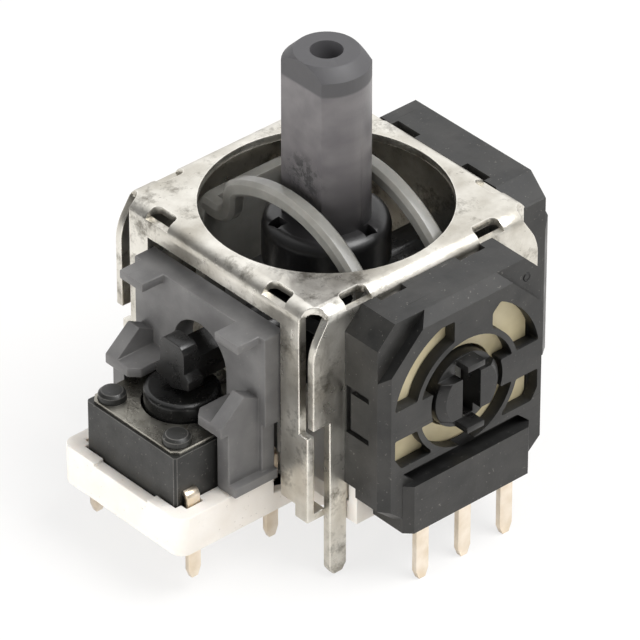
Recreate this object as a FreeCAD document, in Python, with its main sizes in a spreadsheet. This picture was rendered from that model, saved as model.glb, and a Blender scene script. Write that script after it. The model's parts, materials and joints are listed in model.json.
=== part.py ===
import FreeCAD, Part
import math
import os
from types import SimpleNamespace
import Sketcher

# A two-axis thumb stick module, in millimetres. Z points up along the lever, the origin is on
# the lever's axis in the plane that the module stands on, -X is the side of the push switch,
# and the two rotary sensors are on -Y (front) and +X (side).

SIZES = {
    # The sheet steel frame
    "frame_half": 6.6,          # half of the frame's outside width
    "frame_rise": 5.38,         # top of the frame above the gimbal axis
    "frame_bottom": 1.1,        # lower edge of the frame's walls
    "steel": 0.4,               # thickness of the sheet
    "bend_radius": 0.7,         # outside radius of the bends round the top
    "opening_edge": 0.92,       # from the frame's outside in to the round opening
    "slot_inset": 2.73,         # middle of a bend slot, from the frame's corner
    "slot_long": 1.4,
    "slot_reach": 0.8,          # how far a bend slot reaches in from the outside
    "slot_deep": 0.42,
    "slot_round": 0.3,          # rounding of a bend slot's inner corners
    "key_radius": 0.7,          # round hole at each corner of the top
    "key_inset": 0.2,           # middle of that hole, in from both outsides
    "key_deep": 0.45,
    "key_reach": 0.85,          # the Y walls' slanted edges: their width, and how far down they go
    "key_drop": 1.77,
    "seam_wide": 0.54,          # seam beside the corner, under the keyhole
    "seam_drop": 6.5,           # lower end of the seam, below the top
    "window_inset": 2.2,        # side of the window in the switch side, from the frame's outside
    "window_drop": 1.3,         # its top, below the frame's top
    "leg_inset": 1.45,          # middle of a leg, from the frame's corner
    "leg_wide": 0.98,
    "leg_tip": -2.65,           # lower end of the legs
    "leg_point": 0.35,          # length of a leg's pointed end
    "leg_drop": 5.9,            # the wall beside each leg ends this far below the top
    "hook_low": 0.45,           # lower face of the lips at the corners
    "hook_half": 0.42,          # half width of a lip
    "hook_reach": 1.0,

    # The gimbal
    "gimbal_height": 6.12,      # both tilt axes cross here
    "tilt_limit": 18.0,         # degrees each way

    # The base
    "plate_thick": 1.0,         # thickness of the base plate
    "plate_inset": 1.15,        # edge of the base plate, in from the frame's outside
    "plate_cut": 1.0,           # cut corners of the base plate
    "ledge_out": 0.6,           # how far the ledges under the sensors pass the frame
    "ledge_top": 2.0,
    "tray_wall": 0.63,          # from the switch to the end of its tray
    "tray_side": 1.05,          # from the switch to the tray's side
    "tray_rim": 2.0,            # height of the tray's rim
    "tray_corner": 0.6,
    "rim_dip": 0.15,            # shallow dip in the middle of the end rim
    "rim_dip_half": 1.8,
    "well_inside": 2.7,         # round well that holds the return spring
    "well_wall": 0.7,
    "well_drop": 0.27,          # top of the well, below the spring's seat
    "post_radius": 0.9,         # post in the middle of the well
    "post_gap": 0.37,           # from the seat's skirt down to the post

    # The lever
    "lever_top": 19.3,
    "shaft_radius": 1.98,
    "flat_half": 1.47,          # half of the width across the two flats
    "shaft_chamfer": 0.52,
    "blind_radius": 0.74,       # blind hole in the lever's end
    "blind_deep": 3.2,
    "bell_radius": 2.88,
    "bell_top": 4.75,           # heights measured from the gimbal axis
    "bell_bottom": 2.6,
    "bell_round": 0.6,
    "neck_radius": 1.6,
    "foot_radius": 2.2,         # round foot, about the crossing of the axes
    "hub_radius": 1.35,         # cross hub that the pin passes through
    "gate_size": 0.62,          # gate recesses in the bell's shoulder
    "gate_deep": 0.22,
    "gate_place": 2.28,

    # The hinge pin and the lower arm
    "pin_radius": 0.6,
    "pin_half": 3.2,            # half of the pin's length
    "run_gap": 0.05,            # radial gap of a running fit
    "side_gap": 0.12,           # gap at the side of a moving part
    "yoke_half_x": 3.35,
    "yoke_half_y": 3.3,
    "yoke_tall": 1.25,          # half height of the yoke
    "yoke_wall_x": 0.85,
    "yoke_wall_y": 0.95,
    "arm_radius": 1.45,
    "tongue_thick": 0.95,
    "tongue_tall": 2.6,
    "tongue_short": 0.92,       # from the sensors' faces in to the ends of the tongues
    "finger_past": 0.58,        # outer face of the finger, past the plunger's axis
    "finger_half": 1.12,
    "finger_top": 1.95,         # heights from the gimbal axis
    "finger_low": 0.52,
    "finger_thick": 0.85,
    "finger_shoulder": 0.3,     # where the paddle starts to narrow
    "finger_head_half": 0.8,
    "press_travel": 0.3,        # stroke of the push switch
    "press_gap": 0.1,           # from the finger down to the plunger

    # The arch
    "rail_spacing": 4.55,       # between the middles of the two rails
    "rail_wide": 0.85,
    "rail_thick": 0.8,
    "rail_round": 0.18,         # rounding of the rails' long edges
    "rail_radius": 6.35,        # middle of the rails, from the gimbal axis
    "rail_reach": 3.2,          # half length of the even arc
    "ear_half": 2.85,
    "ear_top": 4.0,             # above the gimbal axis
    "ear_drop": 1.45,           # below the gimbal axis
    "ear_thick": 0.55,
    "ear_back_inset": 1.6,      # inner face of the ear on the +Y side, from the frame's outside
    "ear_front_inset": 1.95,    # and of the ear on the -Y side
    "stub_radius": 1.2,

    # The return spring and its seat
    "seat_thick": 0.6,
    "seat_gap": 0.2,            # from the lever's foot down to the seat
    "seat_skirt": 0.45,
    "wire_radius": 0.16,
    "coil_radius": 1.75,
    "coil_turns": 4.0,

    # The rotary sensors
    "sensor_deep": 2.62,        # from the frame's outside to the sensors' faces
    "sensor_half": 4.8,
    "sensor_top": 5.0,          # heights from the gimbal axis
    "face_top": 4.48,
    "sensor_bottom": 4.95,
    "sensor_edge": 0.37,        # width of the bevel round the face
    "bevel_deep": 0.5,          # height of that bevel, and of the step at the cut corners
    "sensor_wall": 0.7,
    "face_thick": 0.6,
    "corner_small": 1.0,        # cut upper corners of the housing
    "corner_foot": 0.95,        # cut lower corners
    "face_cut": 1.8,            # larger cuts at the upper corners of the face
    "block_half": 3.75,         # terminal block
    "block_out": 0.38,          # how far the block is proud of the face
    "block_top": 3.35,          # below the gimbal axis
    "block_bottom": 5.87,
    "block_edge": 0.37,
    "rotor_hole": 2.1,
    "ring_window": 2.75,        # outer radius of the windows round the rotor
    "ring_web": 3.02,           # outer radius of the web round those windows
    "arc_window": 4.3,          # reach of the corner windows
    "band_half": 0.72,          # half height of the band across the middle
    "slot_band": 2.72,          # long slot above the block: its top, below the axis
    "latch_tall": 2.5,          # latch tongue in the side
    "latch_deep": 0.28,
    "latch_cut": 0.3,
    "notch_near": 1.55,         # notches along the back of the top, from its middle
    "notch_far": 3.05,
    "notch_deep": 0.38,
    "wafer_thick": 0.8,
    "wafer_half": 4.05,
    "wafer_gap": 0.06,
    "terminal_pitch": 2.5,
    "terminal_wide": 0.72,
    "terminal_thick": 0.28,
    "terminal_tip": -2.8,
    "terminal_point": 0.45,
    "rivet_radius": 0.35,
    "lead_out": 0.35,           # a terminal steps out this far inside the block
    "lead_step": 4.75,          # height of that step, below the gimbal axis
    "rotor_radius": 1.85,
    "rotor_top_radius": 1.5,
    "rotor_proud": 0.3,
    "rotor_flange": 2.5,
    "rotor_flange_thick": 0.35,
    "hook_wide": 1.0,
    "hook_thick": 0.3,
    "hook_proud": 0.6,
    "wiper_thick": 0.15,
    "wiper_radius": 2.35,

    # The push switch and its holder
    "inner_pin_gap": 0.13,      # from the switch's inner pins to the holder
    "switch_half": 3.0,
    "switch_floor": 1.1,
    "switch_edge": 0.12,
    "cover_thick": 0.18,
    "cover_cut": 0.3,
    "plunger_radius": 1.72,
    "plunger_flange": 2.1,
    "plunger_proud": 1.0,       # top of the plunger, above the switch's case
    "plunger_room": 1.2,        # depth of the room under the cover
    "stake_radius": 0.63,
    "stake_inset": 0.82,
    "stake_tall": 0.42,
    "dome_radius": 1.9,
    "dome_rise": 0.25,
    "dome_thick": 0.08,
    "pin_pitch": 4.5,
    "pin_out": 0.25,            # from the switch's side to the middle of its pins
    "pin_wide": 0.7,
    "pin_thick": 0.25,
    "pin_tip": -1.95,
    "pin_shoulder": 2.65,       # top of the strip where it leaves the body
    "holder_thick": 0.75,
    "holder_drop": 0.55,        # top of the holder, below the window's top
    "holder_under": 0.15,       # lower edge of its wide part, below the shelves
    "holder_waist": 0.25,       # how far its legs stand in from its sides
    "tunnel_half": 1.75,
    "tunnel_rise": 0.38,        # middle of the tunnel's round, above the gimbal axis
    "lug_near": 2.4,
    "lug_far": 3.95,
    "lug_out": 1.2,
    "lug_tall": 0.45,
    "outer_pin_gap": 0.77,      # from the holder's side ears to the switch's outer pins
    "ear_wall": 0.78,
    "ear_end_tall": 0.5,        # height of the ears at their outer end, above the shelves
    "ear_tall": 1.65,           # their greatest height above the shelves, and its place
    "ear_slope": 1.35,
    "shelf_cut": 0.45,
    "shelf_inner": 1.95,
    "foot_out": 0.42,
    "foot_tall": 0.5,
}


class Size:
    """A number together with the formula that gives it from the sheet's cells."""

    def __init__(self, number, formula):
        self.number = float(number)
        self.formula = formula

    def __add__(self, other):
        other = as_size(other)
        return Size(self.number + other.number, f"({self.formula} + {other.formula})")

    def __sub__(self, other):
        other = as_size(other)
        return Size(self.number - other.number, f"({self.formula} - {other.formula})")

    def __mul__(self, other):
        other = as_size(other)
        return Size(self.number * other.number, f"({self.formula} * {other.formula})")

    def __truediv__(self, other):
        other = as_size(other)
        return Size(self.number / other.number, f"({self.formula} / {other.formula})")

    def __neg__(self):
        return Size(-self.number, f"(0 - {self.formula})")

    def __radd__(self, other):
        return as_size(other) + self

    def __rsub__(self, other):
        return as_size(other) - self

    def __rmul__(self, other):
        return as_size(other) * self


def as_size(value):
    return value if isinstance(value, Size) else Size(value, f"{float(value):.6f}")


def root(value):
    return Size(math.sqrt(value.number), f"sqrt({value.formula})")


def sine(value):
    return Size(math.sin(math.radians(value.number)), f"sin({value.formula} * 1 deg)")


def cosine(value):
    return Size(math.cos(math.radians(value.number)), f"cos({value.formula} * 1 deg)")


doc = FreeCAD.newDocument("thumb_stick")
sheet = doc.addObject("Spreadsheet::Sheet", "Sizes")
for row, (name, number) in enumerate(SIZES.items(), start=1):
    sheet.set(f"A{row}", name.replace("_", " "))
    sheet.set(f"B{row}", str(number))
    sheet.setAlias(f"B{row}", name)
doc.recompute()
s = SimpleNamespace(**{name: Size(number, f"Sizes.{name}") for name, number in SIZES.items()})

# Places that follow from the sizes

s.frame_top = s.gimbal_height + s.frame_rise
s.opening_radius = s.frame_half - s.opening_edge
s.slot_place = s.frame_half - s.slot_inset
s.key_low = s.frame_top - s.key_drop
s.seam_low = s.frame_top - s.seam_drop
s.switch_window_half = s.frame_half - s.window_inset
s.switch_window_top = s.frame_top - s.window_drop
s.leg_place = s.frame_half - s.leg_inset
s.leg_root = s.frame_top - s.leg_drop
s.plate_half = s.frame_half - s.plate_inset
s.shoulder = s.frame_half - s.run_gap
s.ear_back = s.frame_half - s.ear_back_inset
s.ear_front = s.frame_half - s.ear_front_inset
s.sensor_face = s.frame_half + s.sensor_deep
s.tongue_end = s.sensor_face - s.tongue_short
s.rotor_back = s.frame_half + s.run_gap * 2
s.seat_top = s.gimbal_height - s.foot_radius - s.seat_gap
s.well_top = s.seat_top - s.well_drop
s.post_top = s.seat_top - s.seat_thick - s.seat_skirt - s.post_gap
s.holder_back = s.frame_half + s.run_gap
s.holder_face = s.holder_back + s.holder_thick
s.switch_middle = s.holder_back + s.pin_pitch / 2 - s.pin_wide / 2 - s.inner_pin_gap
s.tray_end = s.switch_middle + s.switch_half + s.tray_wall
s.tray_half = s.switch_half + s.tray_side
s.finger_face = s.switch_middle + s.finger_past
s.plunger_top = s.gimbal_height - s.finger_low - s.press_gap
s.switch_top = s.plunger_top - s.plunger_proud
s.stake_place = s.switch_half - s.stake_inset
s.pin_row = s.switch_half + s.pin_out
s.shelf_low = s.switch_top + s.cover_thick + s.stake_tall + s.run_gap
s.holder_half = s.switch_window_half - s.run_gap
s.holder_top = s.switch_window_top - s.holder_drop
s.holder_low = s.shelf_low - s.holder_under
s.leg_side = s.holder_half - s.holder_waist
s.tunnel_centre = s.gimbal_height + s.tunnel_rise
s.ear_inner = s.switch_half + s.side_gap
s.ear_outer = s.ear_inner + s.ear_wall
s.ear_low_end = s.shelf_low + s.ear_end_tall
s.ear_high_end = s.shelf_low + s.ear_tall
s.ear_reach = s.switch_middle + s.pin_pitch / 2 - s.pin_wide / 2 - s.outer_pin_gap
s.ear_high_place = s.ear_reach - s.ear_slope
s.shelf_reach = s.ear_reach - s.shelf_cut
parts = []


def bind(thing, prop, size):
    """Ties a property to the sheet."""
    thing.setExpression(prop, as_size(size).formula)


# Sketches and features

def new_body(name, lift=None, turn=0):
    """A body for one piece, lifted along Z and turned about Z."""
    body = doc.addObject("PartDesign::Body", name)
    body.Label = name
    body.Placement = FreeCAD.Placement(FreeCAD.Vector(), FreeCAD.Rotation(FreeCAD.Vector(0, 0, 1), turn))
    if lift is not None:
        bind(body, "Placement.Base.z", lift)
    parts.append(body)
    return body


def new_sketch(body, plane, offset=0, turn=0):
    """A sketch on one of the body's own planes, moved along its normal and turned about its upright."""
    sketch = body.newObject("Sketcher::SketchObject", f"{body.Name}_sketch")
    support = next(item for item in body.Origin.OriginFeatures if item.Role == plane)
    sketch.AttachmentSupport = [(support, "")]
    sketch.MapMode = "FlatFace"
    turned = FreeCAD.Rotation(FreeCAD.Vector(0, 1, 0), turn)
    out = turned.multVec(FreeCAD.Vector(0, 0, 1))
    sketch.AttachmentOffset = FreeCAD.Placement(out * as_size(offset).number, turned)
    bind(sketch, "AttachmentOffset.Base.x", as_size(offset) * out.x)
    bind(sketch, "AttachmentOffset.Base.z", as_size(offset) * out.z)
    return sketch


def constrain(sketch, kind, *where, size):
    """Adds a dimension to a sketch and ties it to the sheet."""
    index = sketch.addConstraint(Sketcher.Constraint(kind, *where, size.number))
    bind(sketch, f"Constraints[{index}]", size)


def outline(sketch, stops):
    """A closed outline through stops. A stop is (x, y), or (x, y, radius) where an arc leads to the next
    stop; the arc's centre is on the left of the way, or on the right if the radius is negative."""
    stops = [tuple(as_size(value) for value in stop) for stop in stops]
    ends = []
    for stop, after in zip(stops, stops[1:] + stops[:1]):
        a = FreeCAD.Vector(stop[0].number, stop[1].number, 0)
        b = FreeCAD.Vector(after[0].number, after[1].number, 0)
        if len(stop) == 2:
            index = sketch.addGeometry(Part.LineSegment(a, b), False)
            ends.append((index, 1, 2))
            continue
        radius = stop[2].number
        half = (b - a) * 0.5
        across = FreeCAD.Vector(-half.y, half.x, 0).normalize()
        rise = math.sqrt(max(radius * radius - half.Length ** 2, 0.0))
        centre = a + half + across * math.copysign(rise, radius)
        first, last = (a, b) if radius > 0 else (b, a)
        angles = [math.atan2(p.y - centre.y, p.x - centre.x) for p in (first, last)]
        circle = Part.Circle(centre, FreeCAD.Vector(0, 0, 1), abs(radius))
        index = sketch.addGeometry(Part.ArcOfCircle(circle, *angles), False)
        ends.append((index, 1, 2) if radius > 0 else (index, 2, 1))
    for number, (index, begin, finish) in enumerate(ends):
        after, start = ends[(number + 1) % len(ends)][:2]
        sketch.addConstraint(Sketcher.Constraint("Coincident", index, finish, after, start))
        stop = stops[number]
        constrain(sketch, "DistanceX", -1, 1, index, begin, size=stop[0])
        constrain(sketch, "DistanceY", -1, 1, index, begin, size=stop[1])
        if len(stop) == 3:
            radius = stop[2] if stop[2].number > 0 else -stop[2]
            constrain(sketch, "Radius", index, size=radius)


def rectangle(sketch, left, right, low, high):
    outline(sketch, [(left, low), (right, low), (right, high), (left, high)])


def disc(sketch, x, y, radius):
    x, y, radius = as_size(x), as_size(y), as_size(radius)
    centre = FreeCAD.Vector(x.number, y.number, 0)
    index = sketch.addGeometry(Part.Circle(centre, FreeCAD.Vector(0, 0, 1), radius.number), False)
    constrain(sketch, "DistanceX", -1, 1, index, 3, size=x)
    constrain(sketch, "DistanceY", -1, 1, index, 3, size=y)
    constrain(sketch, "Radius", index, size=radius)


def extrude(body, kind, sketch, length, backwards):
    feature = body.newObject(f"PartDesign::{kind}", f"{body.Name}_{kind.lower()}")
    feature.Profile = sketch
    feature.Length = as_size(length).number
    bind(feature, "Length", length)
    feature.Reversed = backwards
    sketch.Visibility = False
    doc.recompute()
    return feature


def pad(body, sketch, length, backwards=False):
    return extrude(body, "Pad", sketch, length, backwards)


def pocket(body, sketch, length, backwards=False):
    """Cuts against the sketch's normal, or along it if backwards, and makes sure that it cut."""
    before = body.Shape.Volume
    feature = extrude(body, "Pocket", sketch, length, backwards)
    if body.Shape.Volume > before - 1e-6:
        raise RuntimeError(f"{feature.Name} cuts nothing")
    return feature


def spin(body, kind, sketch, axis="V_Axis", angle=360):
    feature = body.newObject(f"PartDesign::{kind}", f"{body.Name}_{kind.lower()}")
    feature.Profile = sketch
    feature.ReferenceAxis = (sketch, [axis])
    feature.Angle = angle
    sketch.Visibility = False
    doc.recompute()
    return feature


def round_edges(body, radius, wanted, kind="Fillet"):
    """Rounds or chamfers the edges for which wanted(edge) is true."""
    tip = body.Tip
    names = [f"Edge{i}" for i, edge in enumerate(tip.Shape.Edges, start=1) if wanted(edge)]
    feature = body.newObject(f"PartDesign::{kind}", f"{body.Name}_{kind.lower()}")
    feature.Base = (tip, names)
    bind(feature, "Radius" if kind == "Fillet" else "Size", radius)
    doc.recompute()
    return feature


def upright_at(edge, x, y, slack=0.01):
    """True for an upright edge that stands at x, y."""
    ends = [vertex.Point for vertex in edge.Vertexes]
    return len(ends) == 2 and all(abs(p.x - x) < slack and abs(p.y - y) < slack for p in ends)


# The sheet steel frame

frame_inner = s.frame_half - s.steel
bearing_hole = s.arm_radius + s.run_gap


def make_frame():
    body = new_body("frame_cover")
    tall = s.frame_top - s.frame_bottom
    half = s.frame_half
    sketch = new_sketch(body, "XY_Plane", s.frame_bottom)
    rectangle(sketch, -half, half, -half, half)
    pad(body, sketch, tall)
    round_edges(body, s.bend_radius, lambda edge: edge.BoundBox.ZMin > s.frame_top.number - 0.01)
    sketch = new_sketch(body, "XY_Plane", s.frame_bottom)
    rectangle(sketch, -frame_inner, frame_inner, -frame_inner, frame_inner)
    pocket(body, sketch, tall - s.steel, backwards=True)
    sketch = new_sketch(body, "XY_Plane", s.frame_top)
    disc(sketch, 0, 0, s.opening_radius)
    pocket(body, sketch, s.steel * 2)
    cut_bend_slots(body)
    cut_keyholes(body)
    cut_seams(body)
    cut_side_windows(body)
    add_legs(body)
    add_corner_hooks(body)


def cut_bend_slots(body):
    """Eight slots across the bends, two on each side, with round inner corners."""
    sketch = new_sketch(body, "XY_Plane", s.frame_top)
    rounding = s.slot_round
    inner = s.frame_half - s.slot_reach
    outer = s.frame_half + rounding
    for end in (-1, 1):
        near = end * s.slot_place - s.slot_long / 2
        far = near + s.slot_long
        stops = [(near, outer), (near, inner + rounding, rounding), (near + rounding, inner),
                 (far - rounding, inner, rounding), (far, inner + rounding), (far, outer)]
        for side in (-1, 1):
            outline(sketch, [(x, side * y) + tuple(side * r for r in arc) for x, y, *arc in stops])
            outline(sketch, [(side * y, x) + tuple(-side * r for r in arc) for x, y, *arc in stops])
    pocket(body, sketch, s.slot_deep)


def cut_keyholes(body):
    """A round hole at each corner of the top, below which the Y walls' edges slant outwards."""
    place = s.frame_half - s.key_inset
    sketch = new_sketch(body, "XY_Plane", s.frame_top)
    for x in (-1, 1):
        for y in (-1, 1):
            disc(sketch, x * place, y * place, s.key_radius)
    pocket(body, sketch, s.key_deep)
    high = s.frame_top - s.key_deep
    for side in (-1, 1):
        sketch = new_sketch(body, "XZ_Plane", s.frame_half * -side)
        for end in (-1, 1):
            outline(sketch, [(end * s.frame_half, s.key_low), (end * s.frame_half, high),
                             (end * (s.frame_half - s.key_reach), high)])
        pocket(body, sketch, s.steel, backwards=side > 0)


def cut_seams(body):
    """The open seam beside each corner, where the X walls end short of the Y walls."""
    high = s.frame_top - s.key_deep
    for side in (-1, 1):
        sketch = new_sketch(body, "YZ_Plane", s.frame_half * side)
        for end in (-1, 1):
            near = end * frame_inner
            far = end * (frame_inner - s.seam_wide)
            outline(sketch, [(far, s.seam_low), (near, s.seam_low), (near, high), (far, high)])
        pocket(body, sketch, s.steel, backwards=side < 0)


def cut_side_windows(body):
    """The window for the switch holder, the bearing holes and the rotor holes."""
    sketch = new_sketch(body, "YZ_Plane", -s.frame_half)
    rectangle(sketch, -s.switch_window_half, s.switch_window_half, s.frame_bottom, s.switch_window_top)
    pocket(body, sketch, s.steel * 2, backwards=True)
    sketch = new_sketch(body, "XZ_Plane", s.frame_half)
    disc(sketch, 0, s.gimbal_height, bearing_hole)
    pocket(body, sketch, s.steel * 2)
    sketch = new_sketch(body, "YZ_Plane", s.frame_half)
    disc(sketch, 0, s.gimbal_height, bearing_hole)
    pocket(body, sketch, s.steel * 2)
    sketch = new_sketch(body, "XZ_Plane", -s.frame_half)
    disc(sketch, 0, s.gimbal_height, s.stub_radius + s.run_gap)
    pocket(body, sketch, s.steel * 2, backwards=True)


def add_legs(body):
    """Pointed legs near the corners of the two Y sides, each with the wall cut away beside it."""
    inner = s.leg_place - s.leg_wide / 2
    outer = s.leg_place + s.leg_wide / 2
    tip = s.leg_wide / 4
    for side in (-1, 1):
        face = s.frame_half * -side
        sketch = new_sketch(body, "XZ_Plane", face)
        for end in (-1, 1):
            outline(sketch, [(end * outer, s.frame_bottom - s.steel),
                             (end * s.frame_half, s.frame_bottom - s.steel),
                             (end * s.frame_half, s.leg_root), (end * outer, s.leg_root)])
        pocket(body, sketch, s.steel, backwards=side > 0)
        sketch = new_sketch(body, "XZ_Plane", face)
        for end in (-1, 1):
            middle = end * s.leg_place
            outline(sketch, [(middle - tip, s.leg_tip), (middle + tip, s.leg_tip),
                             (end * inner if end < 0 else end * outer, s.leg_tip + s.leg_point),
                             (end * inner if end < 0 else end * outer, s.frame_bottom + s.steel),
                             (end * outer if end < 0 else end * inner, s.frame_bottom + s.steel),
                             (end * outer if end < 0 else end * inner, s.leg_tip + s.leg_point)])
        pad(body, sketch, s.steel, backwards=side < 0)


def add_corner_hooks(body):
    """Lips that the X walls fold in below the base's corners."""
    middle = frame_inner - s.hook_half
    for end in (-1, 1):
        sketch = new_sketch(body, "XZ_Plane", -end * middle - s.hook_half)
        for side in (-1, 1):
            outer = side * s.frame_half
            wall = side * frame_inner
            inner = side * (s.frame_half - s.hook_reach)
            outline(sketch, [(outer, s.frame_bottom + s.steel), (outer, s.hook_low), (inner, s.hook_low),
                             (inner, s.hook_low + s.steel), (wall, s.hook_low + s.steel),
                             (wall, s.frame_bottom + s.steel)])
        pad(body, sketch, s.hook_half * 2)


# The white base with the switch tray

def cut_square(half, cut):
    """A square about the origin with cut corners."""
    near = half - cut
    return [(-near, -half), (near, -half), (half, -near), (half, near),
            (near, half), (-near, half), (-half, near), (-half, -near)]


def make_base():
    body = new_body("base_tray")
    sketch = new_sketch(body, "XY_Plane")
    outline(sketch, cut_square(s.plate_half, s.plate_cut))
    pad(body, sketch, s.plate_thick)
    raise_floor(body)
    add_ledges(body)
    add_tray(body)
    sketch = new_sketch(body, "XY_Plane", s.plate_thick)
    disc(sketch, 0, 0, s.well_inside + s.well_wall)
    pad(body, sketch, s.well_top - s.plate_thick)
    sketch = new_sketch(body, "XY_Plane", s.well_top)
    disc(sketch, 0, 0, s.well_inside)
    pocket(body, sketch, s.well_top - well_floor)
    sketch = new_sketch(body, "XY_Plane", well_floor)
    disc(sketch, 0, 0, s.post_radius)
    pad(body, sketch, s.post_top - well_floor)


def raise_floor(body):
    """The block that stands inside the frame's walls, open towards the switch."""
    inside = frame_inner - s.run_gap
    cut = s.plate_cut
    floor = s.frame_bottom + s.run_gap
    sketch = new_sketch(body, "XY_Plane", s.plate_thick)
    rectangle(sketch, -switch_near, s.plate_half, -s.plate_half + s.plate_cut, s.plate_half - s.plate_cut)
    pad(body, sketch, floor - s.plate_thick)
    sketch = new_sketch(body, "XY_Plane", floor)
    outline(sketch, [(-switch_near, -inside), (inside - cut, -inside), (inside, -inside + cut),
                     (inside, inside - cut), (inside - cut, inside), (-switch_near, inside)])
    pad(body, sketch, s.ledge_top - floor)


def add_ledges(body):
    """Arms that pass below the frame's walls and rise in front of them, under the two sensors."""
    near = s.frame_half + s.run_gap
    far = s.frame_half + s.ledge_out
    half = s.leg_place - s.leg_wide / 2 - s.run_gap
    sketch = new_sketch(body, "XY_Plane")
    outline(sketch, [(-half, -far), (half, -far), (half, 0), (-half, 0)])
    pad(body, sketch, s.plate_thick)
    sketch = new_sketch(body, "XY_Plane")
    outline(sketch, [(0, -half), (far, -half), (far, half), (0, half)])
    pad(body, sketch, s.plate_thick)
    sketch = new_sketch(body, "XY_Plane")
    rectangle(sketch, -half, half, -far, -near)
    pad(body, sketch, s.ledge_top)
    sketch = new_sketch(body, "XY_Plane")
    rectangle(sketch, near, far, -half, half)
    pad(body, sketch, s.ledge_top)


def add_tray(body):
    """The tray round the push switch, with a slot for each of its pins."""
    end = -s.tray_end
    start = -(s.frame_half + s.run_gap)
    half = s.tray_half
    corner = s.tray_corner
    sketch = new_sketch(body, "XY_Plane")
    outline(sketch, [(end + corner, -half), (start, -half), (start, half), (end + corner, half, corner),
                     (end, half - corner), (end, -half + corner, corner)])
    pad(body, sketch, s.tray_rim)
    sketch = new_sketch(body, "XY_Plane")
    rectangle(sketch, start - s.steel, -s.plate_half + s.steel, -half, half)
    pad(body, sketch, s.plate_thick)
    sketch = new_sketch(body, "XY_Plane", s.ledge_top)
    rectangle(sketch, -switch_far - s.run_gap, -switch_near, -switch_room, switch_room)
    pocket(body, sketch, s.ledge_top - s.switch_floor)
    sketch = new_sketch(body, "XY_Plane", s.ledge_top)
    for end in (-1, 1):
        middle = -s.switch_middle + end * s.pin_pitch / 2
        reach = s.pin_wide / 2 + s.side_gap
        for side in (-1, 1):
            inner = side * (s.switch_half - s.run_gap)
            outer = side * (s.pin_row + s.pin_thick / 2 + s.run_gap)
            outline(sketch, [(middle - reach, inner), (middle + reach, inner),
                             (middle + reach, outer), (middle - reach, outer)])
    pocket(body, sketch, s.ledge_top + s.run_gap)
    sketch = new_sketch(body, "XY_Plane", s.tray_rim)
    rectangle(sketch, -s.tray_end - corner, -switch_far, -s.rim_dip_half, s.rim_dip_half)
    pocket(body, sketch, s.rim_dip)


# The push switch

switch_room = s.switch_half + s.run_gap
switch_near = s.switch_middle - s.switch_half - s.run_gap
switch_far = s.switch_middle + s.switch_half
well_floor = s.plate_thick * 0.6
stakes = [(x, y) for x in (-1, 1) for y in (-1, 1)]


def at_switch(body):
    """Moves a piece of the switch from the origin to the switch's middle."""
    bind(body, "Placement.Base.x", -s.switch_middle)


def make_switch_body():
    body = new_body("switch_body")
    half = s.switch_half
    sketch = new_sketch(body, "XY_Plane", s.switch_floor)
    rectangle(sketch, -half, half, -half, half)
    pad(body, sketch, s.switch_top - s.switch_floor)
    corners = [(x * half.number, y * half.number) for x, y in stakes]
    round_edges(body, s.switch_edge, lambda edge: any(upright_at(edge, x, y) for x, y in corners), "Chamfer")
    sketch = new_sketch(body, "XY_Plane", s.switch_top)
    disc(sketch, 0, 0, s.plunger_flange + s.side_gap)
    pocket(body, sketch, s.plunger_room)
    sketch = new_sketch(body, "XY_Plane", s.switch_top)
    for x, y in stakes:
        disc(sketch, x * s.stake_place, y * s.stake_place, s.stake_radius)
    pad(body, sketch, s.cover_thick + s.stake_tall)
    round_edges(body, s.stake_tall / 3, on_level(s.switch_top + s.cover_thick + s.stake_tall), "Chamfer")
    at_switch(body)


def on_level(level):
    """Picks the edges that lie in one level plane."""
    def wanted(edge):
        box = edge.BoundBox
        return abs(box.ZMin - level.number) < 1e-3 and abs(box.ZMax - level.number) < 1e-3
    return wanted


def make_switch_cover():
    body = new_body("switch_cover_plate")
    sketch = new_sketch(body, "XY_Plane", s.switch_top)
    outline(sketch, cut_square(s.switch_half - s.side_gap, s.cover_cut))
    disc(sketch, 0, 0, s.plunger_radius + s.side_gap)
    for x, y in stakes:
        disc(sketch, x * s.stake_place, y * s.stake_place, s.stake_radius + s.run_gap / 2)
    pad(body, sketch, s.cover_thick)
    at_switch(body)


def make_plunger():
    body = new_body("switch_plunger")
    top = s.plunger_top
    under = s.switch_top - s.run_gap
    foot = s.switch_top - s.plunger_room + s.dome_rise + s.dome_thick + s.press_travel + s.run_gap / 2
    edge = s.run_gap * 3
    sketch = new_sketch(body, "XZ_Plane")
    outline(sketch, [(0, foot), (s.plunger_flange, foot), (s.plunger_flange, under),
                     (s.plunger_radius, under), (s.plunger_radius, top - edge),
                     (s.plunger_radius - edge, top), (0, top)])
    spin(body, "Revolution", sketch)
    at_switch(body)


def make_dome():
    """The shallow snap disc under the plunger."""
    body = new_body("switch_dome")
    low = s.switch_top - s.plunger_room
    high = low + s.dome_rise
    curve = (s.dome_radius * s.dome_radius + s.dome_rise * s.dome_rise) / (2 * s.dome_rise)
    sketch = new_sketch(body, "XZ_Plane")
    outline(sketch, [(0, high, -curve), (s.dome_radius, low), (s.dome_radius, low + s.dome_thick, curve),
                     (0, high + s.dome_thick)])
    spin(body, "Revolution", sketch)
    at_switch(body)


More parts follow.
